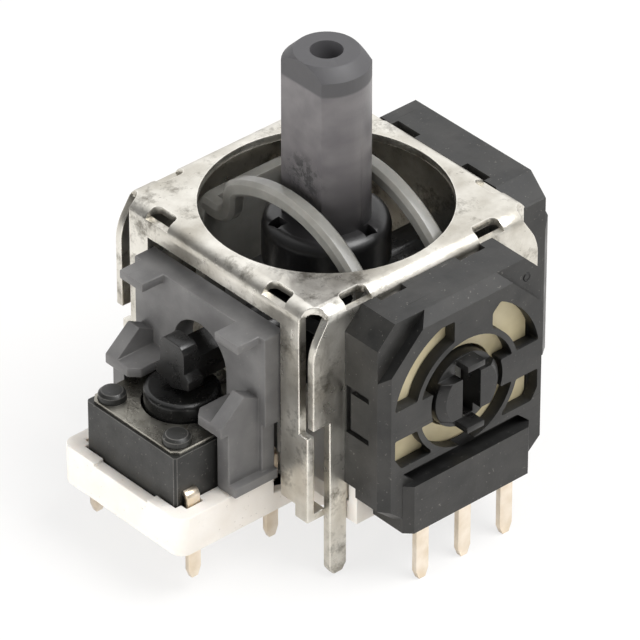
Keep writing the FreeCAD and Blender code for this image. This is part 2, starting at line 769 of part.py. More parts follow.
def make_switch_terminals():
    """Four strips that leave the body's sides, bend down and end in the board."""
    body = new_body("switch_terminals")
    body.AllowCompound = True
    half = s.pin_wide / 2
    inner = s.pin_row - s.pin_thick / 2
    outer = s.pin_row + s.pin_thick / 2
    top = s.pin_shoulder
    bend = s.pin_thick * 1.4
    taper = s.pin_tip + s.terminal_point
    for end in (-1, 1):
        middle = end * s.pin_pitch / 2
        for side in (-1, 1):
            sketch = new_sketch(body, "YZ_Plane", middle - half)
            outline(sketch, [(side * s.switch_half, top), (side * (outer - bend), top, side * -bend),
                             (side * outer, top - bend), (side * outer, taper), (side * inner, taper),
                             (side * inner, top - bend), (side * (inner - s.pin_thick / 4),
                             top - s.pin_thick),
                             (side * s.switch_half, top - s.pin_thick)])
            pad(body, sketch, s.pin_wide)
            sketch = new_sketch(body, "XZ_Plane", outer if side < 0 else -inner)
            outline(sketch, [(middle - half, taper), (middle - half / 2, s.pin_tip),
                             (middle + half / 2, s.pin_tip), (middle + half, taper)])
            pad(body, sketch, s.pin_thick, backwards=True)
    at_switch(body)


def make_switch_holder():
    """The grey holder that clips the switch to the frame and guides the lower arm."""
    body = new_body("switch_holder")
    low = s.shelf_low
    room = s.ear_inner
    sketch = new_sketch(body, "YZ_Plane", -s.holder_face)
    outline(sketch, [(-s.holder_half, s.holder_low), (-room, s.holder_low), (-room, low),
                     (-s.tunnel_half, low), (-s.tunnel_half, s.tunnel_centre, -s.tunnel_half),
                     (0, s.tunnel_centre + s.tunnel_half, -s.tunnel_half),
                     (s.tunnel_half, s.tunnel_centre), (s.tunnel_half, low), (room, low),
                     (room, s.holder_low), (s.holder_half, s.holder_low),
                     (s.holder_half, s.holder_top), (-s.holder_half, s.holder_top)])
    pad(body, sketch, s.holder_face - s.holder_back + s.steel)
    add_holder_legs(body, room)
    add_lugs(body)
    add_holder_ears(body)


def add_holder_legs(body, room):
    """The two legs of the plate, in front of the frame's wall, and the foot ledges."""
    sketch = new_sketch(body, "YZ_Plane", -s.holder_face)
    rectangle(sketch, room, s.leg_side, s.tray_rim, s.holder_low)
    rectangle(sketch, -s.leg_side, -room, s.tray_rim, s.holder_low)
    pad(body, sketch, s.holder_face - s.holder_back)
    sketch = new_sketch(body, "YZ_Plane", -s.ear_reach + s.foot_out)
    ledge = s.ear_outer + s.foot_out
    rectangle(sketch, s.ear_inner, ledge, s.tray_rim, s.tray_rim + s.foot_tall)
    rectangle(sketch, -ledge, -s.ear_inner, s.tray_rim, s.tray_rim + s.foot_tall)
    pad(body, sketch, s.ear_reach - s.foot_out - s.holder_back)


def add_lugs(body):
    sketch = new_sketch(body, "YZ_Plane", -s.holder_face)
    for side in (-1, 1):
        near = side * s.lug_near
        far = side * s.lug_far
        outline(sketch, [(near, s.holder_top - s.lug_tall), (far, s.holder_top - s.lug_tall),
                         (far, s.holder_top), (near, s.holder_top)])
    pad(body, sketch, s.lug_out, backwards=True)


def add_holder_ears(body):
    """Side ears with a slanted top, and the shelves that hold the switch down."""
    face = -s.holder_face
    wall = -(s.ear_reach - s.foot_out)
    for side in (-1, 1):
        sketch = new_sketch(body, "XZ_Plane", s.ear_outer if side < 0 else -s.ear_inner)
        outline(sketch, [(face, s.tray_rim), (wall, s.tray_rim), (wall, s.shelf_low),
                         (-s.ear_reach, s.shelf_low), (-s.ear_reach, s.ear_low_end),
                         (-s.ear_high_place, s.ear_high_end), (face, s.ear_high_end - s.foot_out)])
        pad(body, sketch, s.ear_outer - s.ear_inner, backwards=True)
        sketch = new_sketch(body, "XY_Plane", s.shelf_low)
        near = side * s.shelf_inner
        far = side * s.ear_outer
        outline(sketch, [(face, near), (-s.shelf_reach, near), (-s.ear_reach, near + side * s.foot_out),
                         (-s.ear_reach, far), (face, far)])
        pad(body, sketch, s.ear_low_end - s.shelf_low)


# The lever, its pin and the two arms, drawn about the crossing of the tilt axes

def make_lever():
    body = new_body("stick", s.gimbal_height)
    top = s.lever_top - s.gimbal_height
    foot = s.foot_radius
    neck = s.neck_radius
    foot_side = root(foot * foot - neck * neck)
    bell = s.bell_radius
    curve = s.bell_round
    sketch = new_sketch(body, "XZ_Plane")
    outline(sketch, [(0, -foot, foot), (neck, -foot_side), (neck, s.bell_bottom), (bell, s.bell_bottom),
                     (bell, s.bell_top - curve), (bell - curve * 0.13, s.bell_top - curve / 2),
                     (bell - curve / 2, s.bell_top - curve * 0.13), (bell - curve, s.bell_top),
                     (s.shaft_radius, s.bell_top),
                     (s.shaft_radius, top - s.shaft_chamfer),
                     (s.shaft_radius - s.shaft_chamfer, top), (0, top)])
    spin(body, "Revolution", sketch)
    sketch = new_sketch(body, "XZ_Plane", -hub_half)
    disc(sketch, 0, 0, s.hub_radius)
    pad(body, sketch, hub_half * 2)
    sketch = new_sketch(body, "XY_Plane", s.bell_top)
    wide = s.shaft_radius * 1.2
    for side in (-1, 1):
        near = side * s.flat_half
        far = side * wide
        outline(sketch, [(near, -wide), (far, -wide), (far, wide), (near, wide)])
    pocket(body, sketch, top, backwards=True)
    sketch = new_sketch(body, "XY_Plane", top)
    disc(sketch, 0, 0, s.blind_radius)
    pocket(body, sketch, s.blind_deep)
    sketch = new_sketch(body, "XZ_Plane", -s.frame_half)
    disc(sketch, 0, 0, s.pin_radius + s.run_gap)
    pocket(body, sketch, s.frame_half * 2, backwards=True)
    cut_gates(body)


def cut_gates(body):
    """Three square moulding gates, sunk into the bell's shoulder."""
    deep = s.gate_deep + s.bell_round
    sketch = new_sketch(body, "XY_Plane", s.bell_top)
    size = s.gate_size / 2
    for angle in (40, 160, 280):
        x = s.gate_place * math.cos(math.radians(angle))
        y = s.gate_place * math.sin(math.radians(angle))
        rectangle(sketch, x - size, x + size, y - size, y + size)
    pocket(body, sketch, deep * 0.7)


hub_half = s.yoke_half_y - s.yoke_wall_y - s.side_gap


def make_pin():
    body = new_body("stick_pin", s.gimbal_height)
    sketch = new_sketch(body, "XZ_Plane", -s.pin_half)
    disc(sketch, 0, 0, s.pin_radius)
    pad(body, sketch, s.pin_half * 2)
    ends = s.pin_radius / 5
    round_edges(body, ends, lambda edge: edge.BoundBox.YLength < 0.01, "Chamfer")


def add_tongue(body, plane, start, end, wide, tall):
    """A flat tongue along the plane's normal."""
    sketch = new_sketch(body, plane, start)
    rectangle(sketch, -wide / 2, wide / 2, -tall / 2, tall / 2)
    pad(body, sketch, end - start)


def make_lower_arm():
    body = new_body("lower_arm", s.gimbal_height)
    sketch = new_sketch(body, "XY_Plane", -s.yoke_tall)
    rectangle(sketch, -s.yoke_half_x, s.yoke_half_x, -s.yoke_half_y, s.yoke_half_y)
    open_x = s.yoke_half_x - s.yoke_wall_x
    open_y = s.yoke_half_y - s.yoke_wall_y
    rectangle(sketch, -open_x, open_x, -open_y, open_y)
    pad(body, sketch, s.yoke_tall * 2)
    round_edges(body, s.yoke_wall_y / 3, lambda edge: any(
        upright_at(edge, x * s.yoke_half_x.number, y * s.yoke_half_y.number) for x, y in stakes))
    sketch = new_sketch(body, "XZ_Plane", -s.frame_half)
    disc(sketch, 0, 0, s.pin_radius)
    pocket(body, sketch, s.frame_half * 2, backwards=True)
    start = s.yoke_half_x - s.yoke_wall_x / 2
    sketch = new_sketch(body, "YZ_Plane", start)
    disc(sketch, 0, 0, s.arm_radius)
    pad(body, sketch, s.shoulder - start)
    add_tongue(body, "YZ_Plane", s.shoulder, s.tongue_end, s.tongue_thick, s.tongue_tall)
    journal = switch_near - s.side_gap
    sketch = new_sketch(body, "YZ_Plane", -start)
    disc(sketch, 0, 0, s.arm_radius)
    pad(body, sketch, journal - start, backwards=True)
    add_finger(body, journal)


def add_finger(body, journal):
    """The finger over the push switch: a neck and a paddle whose foot stays clear when it rocks."""
    low = -s.finger_low
    side = low + s.finger_half * sine(s.tilt_limit) / cosine(s.tilt_limit) + s.run_gap / 2
    head = s.finger_head_half
    start = -(s.finger_face - s.finger_thick)
    sketch = new_sketch(body, "YZ_Plane", start)
    outline(sketch, [(-head, side), (head, side), (head, s.arm_radius * 0.8), (-head, s.arm_radius * 0.8)])
    pad(body, sketch, s.finger_face - s.finger_thick - journal + s.side_gap)
    sketch = new_sketch(body, "YZ_Plane", start)
    top = s.finger_top
    edge = head / 3
    shoulder = s.finger_shoulder
    outline(sketch, [(0, low), (s.finger_half, side), (s.finger_half, shoulder), (head, shoulder + edge),
                     (head, top - edge), (head - edge, top), (edge - head, top), (-head, top - edge),
                     (-head, shoulder + edge), (-s.finger_half, shoulder), (-s.finger_half, side)])
    pad(body, sketch, s.finger_thick, backwards=True)


def make_arch():
    """The white arch: two rails over the lever, an ear at each end, a stub and a tongue."""
    body = new_body("arch", s.gimbal_height)
    add_ear(body, -s.ear_back, -(s.ear_back + s.ear_thick), -(s.frame_half + s.side_gap), s.stub_radius)
    add_ear(body, s.ear_front, s.ear_front + s.ear_thick, s.shoulder, s.arm_radius)
    add_tongue(body, "XZ_Plane", s.shoulder, s.tongue_end, s.tongue_thick, s.tongue_tall)
    add_rails(body, front_rail_outline())
    add_rails(body, back_rail_outline())
    round_edges(body, s.rail_round, on_rail_side, "Chamfer")


def add_ear(body, inner, outer, stub_end, radius):
    """An end plate between two offsets along the front direction, with its pivot stub."""
    half = s.ear_half
    curve = half / 3
    sketch = new_sketch(body, "XZ_Plane", inner)
    drop = -s.ear_drop
    outline(sketch, [(-half, drop + curve, curve), (curve - half, drop), (half - curve, drop, curve),
                     (half, drop + curve), (half, s.ear_top - curve, curve), (half - curve, s.ear_top),
                     (curve - half, s.ear_top, curve), (-half, s.ear_top - curve)])
    forward = outer.number > inner.number
    pad(body, sketch, outer - inner if forward else inner - outer, backwards=not forward)
    sketch = new_sketch(body, "XZ_Plane", outer)
    disc(sketch, 0, 0, radius)
    pad(body, sketch, stub_end - outer if forward else outer - stub_end, backwards=not forward)


def front_rail_outline():
    """From the top of the arch down into the front ear, as one even arc."""
    reach = s.ear_front + s.ear_thick / 2
    stops = []
    for radius in (s.rail_radius + s.rail_thick / 2, s.rail_radius - s.rail_thick / 2):
        stops.append([(0, radius), (-reach, root(radius * radius - reach * reach))])
    over, under = stops
    turn_over = s.rail_radius + s.rail_thick / 2
    turn_under = s.rail_radius - s.rail_thick / 2
    return [over[0] + (turn_over,), over[1], under[1] + (-turn_under,), under[0]]


def back_rail_outline():
    """Over the top, down in a tight bend, and outwards again into the back ear."""
    radius = s.rail_radius
    half = s.rail_thick / 2
    y = s.rail_reach
    z = root(radius * radius - y * y)
    bend = s.rail_thick * 1.1
    centre_y = y * (radius - bend) / radius
    centre_z = z * (radius - bend) / radius
    down = centre_z - s.rail_thick / 3
    foot_y = centre_y + 2 * bend
    end = s.ear_back + s.ear_thick / 2
    over = (radius + half) / radius
    under = (radius - half) / radius
    return [(0, radius - half, -(radius - half)), (y * under, z * under, -(bend - half)),
            (centre_y + bend - half, centre_z), (centre_y + bend - half, down, bend + half),
            (foot_y, down - bend - half), (end, down - bend - half), (end, down - bend + half),
            (foot_y, down - bend + half, -(bend - half)), (centre_y + bend + half, down),
            (centre_y + bend + half, centre_z, bend + half), (y * over, z * over, radius + half),
            (0, radius + half)]


def on_rail_side(edge):
    """Picks the long edges of the rails above the ears."""
    box = edge.BoundBox
    sides = [s.rail_spacing / 2 - s.rail_wide / 2, s.rail_spacing / 2 + s.rail_wide / 2]
    flat = box.XLength < 1e-3 and any(abs(abs(box.XMin) - side.number) < 1e-3 for side in sides)
    return flat and box.ZMax > (s.ear_top + s.rail_thick).number and box.DiagonalLength > s.rail_wide.number


def add_rails(body, stops):
    """Both rails with one side outline."""
    wide = s.rail_wide / 2
    for side in (-1, 1):
        sketch = new_sketch(body, "YZ_Plane", side * s.rail_spacing / 2 - wide)
        outline(sketch, stops)
        pad(body, sketch, s.rail_wide)


# The return spring and its seat

def make_seat():
    body = new_body("spring_seat")
    low = s.seat_top - s.seat_thick
    outer = s.well_inside - s.side_gap
    boss = s.coil_radius - s.wire_radius - s.side_gap
    sketch = new_sketch(body, "XZ_Plane")
    outline(sketch, [(0, low - s.seat_skirt), (boss, low - s.seat_skirt), (boss, low), (outer, low),
                     (outer, s.seat_top - s.run_gap), (outer - s.run_gap, s.seat_top), (0, s.seat_top)])
    spin(body, "Revolution", sketch)


def make_spring():
    body = new_body("return_spring")
    low = well_floor + s.wire_radius
    tall = s.seat_top - s.seat_thick - low - s.wire_radius
    sketch = new_sketch(body, "XZ_Plane")
    wire = s.wire_radius
    slant = s.wire_radius * 0.4
    outline(sketch, [(s.coil_radius + x, low + z) for x, z in (
        (-slant, -wire), (slant, -wire), (wire, -slant), (wire, slant),
        (slant, wire), (-slant, wire), (-wire, slant), (-wire, -slant))])
    helix = body.newObject("PartDesign::AdditiveHelix", "return_spring_helix")
    helix.Profile = sketch
    helix.ReferenceAxis = (sketch, ["V_Axis"])
    helix.Mode = "height-turns-angle"
    bind(helix, "Height", tall)
    bind(helix, "Turns", s.coil_turns)
    doc.recompute()


# The two rotary sensors, drawn facing -Y; the side one is the mirror image, turned to +X

housing_back = s.frame_half
wafer_front = s.sensor_face - s.face_thick - s.wafer_gap
wafer_back = wafer_front - s.wafer_thick
strip_front = wafer_front + s.terminal_thick
lead_front = strip_front + s.lead_out
step_top = s.lead_step - s.terminal_thick / 2
base_cut = s.face_cut + s.sensor_edge + s.sensor_top - s.face_top
room_cut = base_cut - s.sensor_wall * (2 - math.sqrt(2))


def make_housing(name, turn, hand):
    """A slab with a face that is bevelled all round, and lower at its cut upper corners."""
    body = new_body(name, s.gimbal_height, turn)
    front = s.sensor_face - s.bevel_deep
    sketch = new_sketch(body, "XZ_Plane", housing_back)
    outline(sketch, housing_outline(s.sensor_half, s.sensor_top, s.corner_small))
    pad(body, sketch, front - housing_back)
    sketches = []
    for offset, stops in ((front, housing_outline(s.sensor_half, s.sensor_top, base_cut)),
                          (s.sensor_face, housing_outline(s.sensor_half - s.sensor_edge,
                                                          s.face_top, s.face_cut))):
        sketch = new_sketch(body, "XZ_Plane", offset)
        outline(sketch, stops)
        sketches.append(sketch)
    loft = body.newObject("PartDesign::AdditiveLoft", f"{name}_bevel")
    loft.Profile = sketches[0]
    loft.Sections = sketches[1:]
    loft.Ruled = True
    doc.recompute()
    sketch = new_sketch(body, "XZ_Plane", housing_back + s.sensor_wall)
    block = s.block_half
    rectangle(sketch, -block, block, -s.block_bottom, -s.block_top)
    pad(body, sketch, s.sensor_face + s.block_out - housing_back - s.sensor_wall)
    proud = (s.sensor_face + s.block_out).number
    edges = [(x * block.number, -proud) for x in (-1, 1)]
    round_edges(body, s.sensor_edge, lambda edge: any(upright_at(edge, x, y) for x, y in edges), "Chamfer")
    hollow_housing(body, hand)
    cut_rotor_windows(body)
    cut_corner_windows(body, hand)
    cut_long_slot(body, hand)
    cut_latch(body, hand)
    cut_notches(body)


def housing_outline(half, top, cut):
    """The housing seen from the front, with its corners cut."""
    low = -s.sensor_bottom
    foot = s.corner_foot
    return [(-half + foot, low - s.block_edge), (half - foot, low - s.block_edge), (half, low + foot / 2),
            (half, top - cut), (half - cut, top), (-half + cut, top),
            (-half, top - cut), (-half, low + foot / 2)]


def mirrored(hand, stops):
    """Mirrors an outline left to right for a left hand, and keeps it running the same way round."""
    if hand > 0:
        return stops
    flipped = [(-as_size(stop[0]),) + tuple(stop[1:2]) for stop in stops]
    count = len(stops)
    result = []
    for number in range(count):
        index = count - 1 - number
        stop = flipped[index]
        before = stops[(index - 1) % count]
        result.append(stop + tuple(before[2:]))
    return result


def hollow_housing(body, hand):
    """The room behind the face for the wafer and wiper, the rebate over the base's ledge and the
    slots for the terminals."""
    inner = s.wafer_half + s.run_gap
    top = s.sensor_top - s.sensor_wall
    cut = room_cut
    depth = wafer_front + s.wafer_gap - housing_back
    sketch = new_sketch(body, "XZ_Plane", housing_back)
    outline(sketch, [(-inner, -wafer_low - s.run_gap), (inner, -wafer_low - s.run_gap), (inner, top - cut),
                     (inner - cut, top), (-inner + cut, top), (-inner, top - cut)])
    pocket(body, sketch, depth, backwards=True)
    sketch = new_sketch(body, "XZ_Plane", housing_back)
    rebate = s.ledge_top + s.side_gap - s.gimbal_height
    wide = s.sensor_half + s.sensor_wall
    rectangle(sketch, -wide, wide, -s.block_bottom - s.sensor_wall, rebate)
    pocket(body, sketch, s.ledge_out + s.side_gap, backwards=True)
    sketch = new_sketch(body, "XY_Plane", -s.block_bottom)
    half = s.terminal_wide / 2 + s.run_gap
    for number in (-1, 0, 1):
        middle = number * s.terminal_pitch
        rectangle(sketch, middle - half, middle + half, -strip_front - s.run_gap, -wafer_front)
    pocket(body, sketch, s.block_bottom - strip_top + s.run_gap, backwards=True)
    sketch = new_sketch(body, "XY_Plane", -s.block_bottom)
    for number in (-1, 0, 1):
        middle = number * s.terminal_pitch
        rectangle(sketch, middle - half, middle + half, -lead_front - s.run_gap, -wafer_front)
    pocket(body, sketch, s.block_bottom - step_top + s.run_gap, backwards=True)


def cut_notches(body):
    """Two notches along the back edge of the top, where the housing meets the frame."""
    sketch = new_sketch(body, "XY_Plane", s.sensor_top)
    near = -housing_back - s.notch_deep
    rectangle(sketch, -s.notch_far, -s.notch_near, near, -housing_back + s.notch_deep)
    rectangle(sketch, s.notch_near, s.notch_far, near, -housing_back + s.notch_deep)
    pocket(body, sketch, s.notch_deep)


wafer_low = s.sensor_bottom - s.sensor_wall
strip_top = wafer_low - 2 * s.rivet_radius - s.run_gap * 2


def cut_rotor_windows(body):
    """The rotor's hole and the two arc windows round it."""
    sketch = new_sketch(body, "XZ_Plane", s.sensor_face)
    disc(sketch, 0, 0, s.rotor_hole)
    pocket(body, sketch, s.face_thick + s.wafer_gap)
    reach = root(s.ring_window * s.ring_window - s.band_half * s.band_half)
    for side in (-1, 1):
        sketch = new_sketch(body, "XZ_Plane", s.sensor_face)
        outline(sketch, [(side * reach, side * s.band_half, s.ring_window),
                         (-side * reach, side * s.band_half)])
        pocket(body, sketch, s.face_thick)


def cut_corner_windows(body, hand):
    """Windows in the four corners of the face, bounded by arcs about the rotor."""
    web = s.ring_web
    reach = s.arc_window
    band = s.band_half + s.run_gap
    side = s.arc_window - s.run_gap * 2
    near = root(web * web - band * band)
    rib = s.band_half + s.run_gap
    far_right = s.arc_window * 0.45
    inner_right = s.arc_window * 0.34
    low = s.slot_band - s.sensor_edge
    foot = near * 0.72
    upper_left = [(-near, band, -web), (-rib, root(web * web - rib * rib)),
                  (-rib, root(reach * reach - rib * rib * 4)),
                  (-2 * rib, root(reach * reach - rib * rib * 4), reach),
                  (-side, root(reach * reach - side * side)), (-side, band)]
    upper_right = [(near, band), (side, band), (side, root(reach * reach - side * side), reach),
                   (far_right, root(reach * reach - far_right * far_right)),
                   (inner_right, root(web * web - inner_right * inner_right) + rib),
                   (inner_right, root(web * web - inner_right * inner_right), -web)]
    lower_left = [(-side, -band), (-side, -band - s.corner_small), (-side + s.sensor_edge, -low),
                  (-foot, -low),
                  (-foot, -root(web * web - foot * foot), -web), (-near, -band)]
    lower_right = [(side, -band), (near, -band, -web), (foot, -root(web * web - foot * foot)), (foot, -low),
                   (side - s.sensor_edge, -low), (side, -band - s.corner_small)]
    sketch = new_sketch(body, "XZ_Plane", s.sensor_face)
    for window in (upper_left, upper_right, lower_left, lower_right):
        outline(sketch, mirrored(hand, window))
    pocket(body, sketch, s.face_thick)


def cut_long_slot(body, hand):
    """The long slot above the terminal block, with slanted ends."""
    wide = s.block_half
    sketch = new_sketch(body, "XZ_Plane", s.sensor_face + s.block_out)
    outline(sketch, mirrored(hand, [(-wide + s.sensor_wall, -s.block_top), (wide, -s.block_top),
                                    (wide - s.sensor_wall, -s.slot_band), (-wide, -s.slot_band)]))
    pocket(body, sketch, s.face_thick + s.block_out - s.run_gap)


def cut_latch(body, hand):
    """Grooves round the snap tongue in the side that faces the frame's corner."""
    outer = s.sensor_half + s.run_gap
    tall = s.latch_tall / 2
    cut = s.latch_cut
    near = housing_back + s.side_gap
    far = s.sensor_face - s.sensor_wall * 1.5
    sketch = new_sketch(body, "YZ_Plane", -outer * hand)
    outline(sketch, [(-near, -tall), (-near, tall), (-far, tall), (-far, tall - cut),
                     (-near - cut, tall - cut), (-near - cut, cut - tall), (-far, cut - tall),
                     (-far, -tall)])
    pocket(body, sketch, s.latch_deep, backwards=hand > 0)


def make_wafer(name, turn):
    """The resistor wafer behind the face."""
    body = new_body(name, s.gimbal_height, turn)
    half = s.wafer_half
    top = s.sensor_top - s.sensor_wall - s.run_gap
    cut = room_cut
    sketch = new_sketch(body, "XZ_Plane", wafer_back)
    outline(sketch, [(-half, -wafer_low), (half, -wafer_low), (half, top - cut), (half - cut, top),
                     (-half + cut, top), (-half, top - cut)])
    disc(sketch, 0, 0, s.rotor_radius + s.side_gap)
    for number in (-1, 0, 1):
        disc(sketch, number * s.terminal_pitch, rivet_level, s.rivet_radius)
    pad(body, sketch, s.wafer_thick)


rivet_level = s.rivet_radius + s.run_gap - wafer_low


def make_terminals(name, turn):
    """Three flat pins, each riveted to the foot of the wafer and stepped outwards in the block."""
    body = new_body(name, s.gimbal_height, turn)
    body.AllowCompound = True
    half = s.terminal_wide / 2
    tip = s.terminal_tip - s.gimbal_height
    step_low = s.lead_step + s.terminal_thick / 2
    middles = [number * s.terminal_pitch for number in (-1, 0, 1)]
    sketch = new_sketch(body, "XZ_Plane", wafer_front)
    for middle in middles:
        rectangle(sketch, middle - half, middle + half, -step_low, -strip_top)
    pad(body, sketch, s.terminal_thick)
    sketch = new_sketch(body, "XZ_Plane", wafer_front)
    for middle in middles:
        rectangle(sketch, middle - half, middle + half, -step_low, -step_top)
    pad(body, sketch, lead_front - wafer_front)
    sketch = new_sketch(body, "XZ_Plane", lead_front)
    for middle in middles:
        outline(sketch, [(middle - half / 2, tip), (middle + half / 2, tip),
                         (middle + half, tip + s.terminal_point), (middle + half, -step_top),
                         (middle - half, -step_top), (middle - half, tip + s.terminal_point)])
    pad(body, sketch, s.terminal_thick, backwards=True)
    sketch = new_sketch(body, "XZ_Plane", wafer_front)
    for middle in middles:
        disc(sketch, middle, rivet_level, s.rivet_radius)
    pad(body, sketch, s.wafer_thick + s.terminal_thick, backwards=True)


def make_rotor(name, turn):
    """The rotor: a hub with a flange for the wiper, two walls beside the arm's tongue, two hooks."""
    body = new_body(name, s.gimbal_height, turn)
    hub = s.rotor_radius
    flange_out = wafer_back - s.run_gap - s.wiper_thick
    flange_in = flange_out - s.rotor_flange_thick
    face = s.sensor_face
    proud = face + s.rotor_proud
    sketch = new_sketch(body, "YZ_Plane")
    outline(sketch, [(-s.rotor_back, 0), (-s.rotor_back, hub), (-flange_in, hub),
                     (-flange_in, s.rotor_flange),
                     (-flange_out, s.rotor_flange), (-flange_out, hub), (-face, hub),
                     (-proud, s.rotor_top_radius), (-proud, 0)])
    spin(body, "Revolution", sketch, "H_Axis")
    slot = s.tongue_thick / 2 + s.run_gap
    tall = s.tongue_tall / 2 + s.side_gap
    sketch = new_sketch(body, "XZ_Plane", proud)
    rectangle(sketch, -slot, slot, -tall, tall)
    pocket(body, sketch, proud - s.rotor_back + s.run_gap)
    sketch = new_sketch(body, "XZ_Plane", proud)
    wall = s.hook_wide
    for side in (-1, 1):
        outline(sketch, [(-hub, side * wall), (hub, side * wall), (hub, side * hub), (-hub, side * hub)])
    pocket(body, sketch, s.rotor_proud + s.run_gap * 4)
    sketch = new_sketch(body, "XZ_Plane", face - s.hook_thick * 2)
    half = s.hook_wide / 2
    for side in (-1, 1):
        near = side * (tall + s.run_gap)
        far = side * (tall + s.run_gap + s.hook_thick)
        outline(sketch, [(-half, near), (half, near), (half, far), (-half, far)])
    pad(body, sketch, s.hook_thick * 2 + s.hook_proud)


def make_wiper(name, turn):
    """The contact ring on the rotor's flange, with two spring fingers on the wafer."""
    body = new_body(name, s.gimbal_height, turn)
    start = wafer_back - s.run_gap - s.wiper_thick
    sketch = new_sketch(body, "XZ_Plane", start)
    disc(sketch, 0, 0, s.wiper_radius)
    disc(sketch, 0, 0, s.rotor_radius)
    pad(body, sketch, s.wiper_thick)
    reach = s.wiper_radius * 1.27
    half = s.terminal_wide / 2
    for side in (-1, 1):
        sketch = new_sketch(body, "XZ_Plane", start)
        near = side * s.wiper_radius * 0.9
        far = side * reach
        outline(sketch, [(-half, near), (half, near), (half / 2, far), (-half / 2, far)])
        pad(body, sketch, s.wiper_thick)


make_frame()
make_base()
make_switch_body()
make_switch_cover()
make_plunger()
make_dome()
make_switch_terminals()
make_switch_holder()
make_lever()
make_pin()
make_lower_arm()
make_arch()
make_seat()
make_spring()
for side, turn, hand in (("front", 0, 1), ("side", 90, -1)):
    make_housing(f"{side}_pot_housing", turn, hand)
    make_wafer(f"{side}_pot_wafer", turn)
    make_terminals(f"{side}_pot_terminals", turn)
    make_rotor(f"{side}_rotor", turn)
    make_wiper(f"{side}_wiper", turn)

doc.recompute()
for item in doc.Objects:
    if "Invalid" in item.State or "Error" in item.State:
        raise RuntimeError(f"{item.Name} did not compute: {item.getStatusString()}")
for part in parts:
    if part.Shape.isNull() or not part.Shape.isValid():
        raise RuntimeError(f"{part.Label} has no valid shape")
os.makedirs("parts", exist_ok=True)
for part in parts:
    part.Shape.exportStep(f"parts/{part.Label}.step")
    print(part.Label, len(part.Shape.Solids), round(part.Shape.Volume, 2))
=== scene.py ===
import json
import math

import bmesh
import bpy
from mathutils import Matrix, Vector


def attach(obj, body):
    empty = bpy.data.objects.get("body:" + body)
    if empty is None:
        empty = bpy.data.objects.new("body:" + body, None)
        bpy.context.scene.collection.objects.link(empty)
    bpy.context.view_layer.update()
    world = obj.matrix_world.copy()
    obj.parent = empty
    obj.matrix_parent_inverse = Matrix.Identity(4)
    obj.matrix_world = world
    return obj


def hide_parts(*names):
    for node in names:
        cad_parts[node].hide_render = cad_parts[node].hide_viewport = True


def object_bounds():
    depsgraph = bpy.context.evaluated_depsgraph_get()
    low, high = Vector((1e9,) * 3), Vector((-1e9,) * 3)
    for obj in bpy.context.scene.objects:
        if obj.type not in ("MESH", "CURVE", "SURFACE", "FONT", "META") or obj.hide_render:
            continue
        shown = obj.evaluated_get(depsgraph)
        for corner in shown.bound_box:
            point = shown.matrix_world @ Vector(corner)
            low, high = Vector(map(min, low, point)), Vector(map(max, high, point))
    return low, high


# A thumb stick module on a plain pale floor. Lengths are in metres unless a name ends in _mm or a
# comment says otherwise. Z is up along the lever, and the switch is on the -X side.
MM = 0.001

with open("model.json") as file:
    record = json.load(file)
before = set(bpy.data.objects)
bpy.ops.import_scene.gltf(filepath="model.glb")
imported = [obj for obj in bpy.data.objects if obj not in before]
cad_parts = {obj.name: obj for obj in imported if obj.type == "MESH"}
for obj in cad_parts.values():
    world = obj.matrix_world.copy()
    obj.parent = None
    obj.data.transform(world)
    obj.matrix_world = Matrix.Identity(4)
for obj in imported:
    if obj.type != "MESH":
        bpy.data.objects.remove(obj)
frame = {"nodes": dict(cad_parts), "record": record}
nodes = frame["nodes"]
cad_bounds = [list(corner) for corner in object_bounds()]


# Materials

GLOSS_SPREAD = 0.08                      # how far a roughness wanders to each side
RELIEF_DEPTH = 0.02 * MM                 # depth of the fine skin on moulded and rolled surfaces
DOWN_THE_PART = (0.0, math.pi / 2, 0.0)  # turns drawn-out noise upright
ALONG_THE_SHEET = (0.0, 0.0, 0.5)        # the rolling direction of the frame's sheet
HANDLING = (0.4, 0.9, 0.3)               # an odd direction, for chance scratches

LEVER_CROWN_MM = (18.0, 18.12)       # the lever turns matt between these heights
LEVER_SHADE_MM = (14.5, 10.5)         # and darkens downwards between these, a painted shade where the frame shades its foot
LEVER_SCAR_MM = (-1.47, -0.2, 13.3)  # middle of the scuffed patch on its flat
SCAR_REACH_MM = (1.5, 0.7)           # the scuffs fade out at the first and are whole at the last

MULTIPLY = {"operation": "MULTIPLY"}
MULTIPLY_ADD = {"operation": "MULTIPLY_ADD"}
OF_COLOURS = {"data_type": "RGBA"}
COLOUR_RESULT = 2                    # a Mix node's output for colours


def hex_colour(code):
    """Turns an sRGB hex value into the linear colour that a shader takes."""
    values = [int(code[i:i + 2], 16) / 255 for i in (1, 3, 5)]
    linear = [v / 12.92 if v <= 0.04045 else ((v + 0.055) / 1.055) ** 2.4 for v in values]
    return (*linear, 1.0)


def add_node(tree, kind, settings=(), output=0, **inputs):
    """Adds a node, gives it its settings, sets or links its inputs, and returns one output. An
    input's name is its socket's in lower case with underscores, or in_ and its number."""
    node = tree.nodes.new(kind)
    for name, value in dict(settings).items():
        setattr(node, name, value)
    for name, value in inputs.items():
        if name.startswith("in_"):
            socket = node.inputs[int(name[3:])]
        else:
            socket = next(s for s in node.inputs
                          if s.enabled and s.name.lower().replace(" ", "_") == name)
        if isinstance(value, bpy.types.NodeSocket):
            tree.links.new(value, socket)
        else:
            socket.default_value = value
    return node.outputs[output] if node.outputs else None


def new_material(name):
    """An empty material with its node tree, and its Object coordinates."""
    material = bpy.data.materials.new(name)
    material.use_nodes = True
    tree = material.node_tree
    tree.nodes.clear()
    return material, tree, add_node(tree, "ShaderNodeTexCoord", output="Object")


def noise_scale(size_mm):
    """The scale at which noise has blobs about size_mm across."""
    return 0.5 / (size_mm * MM)


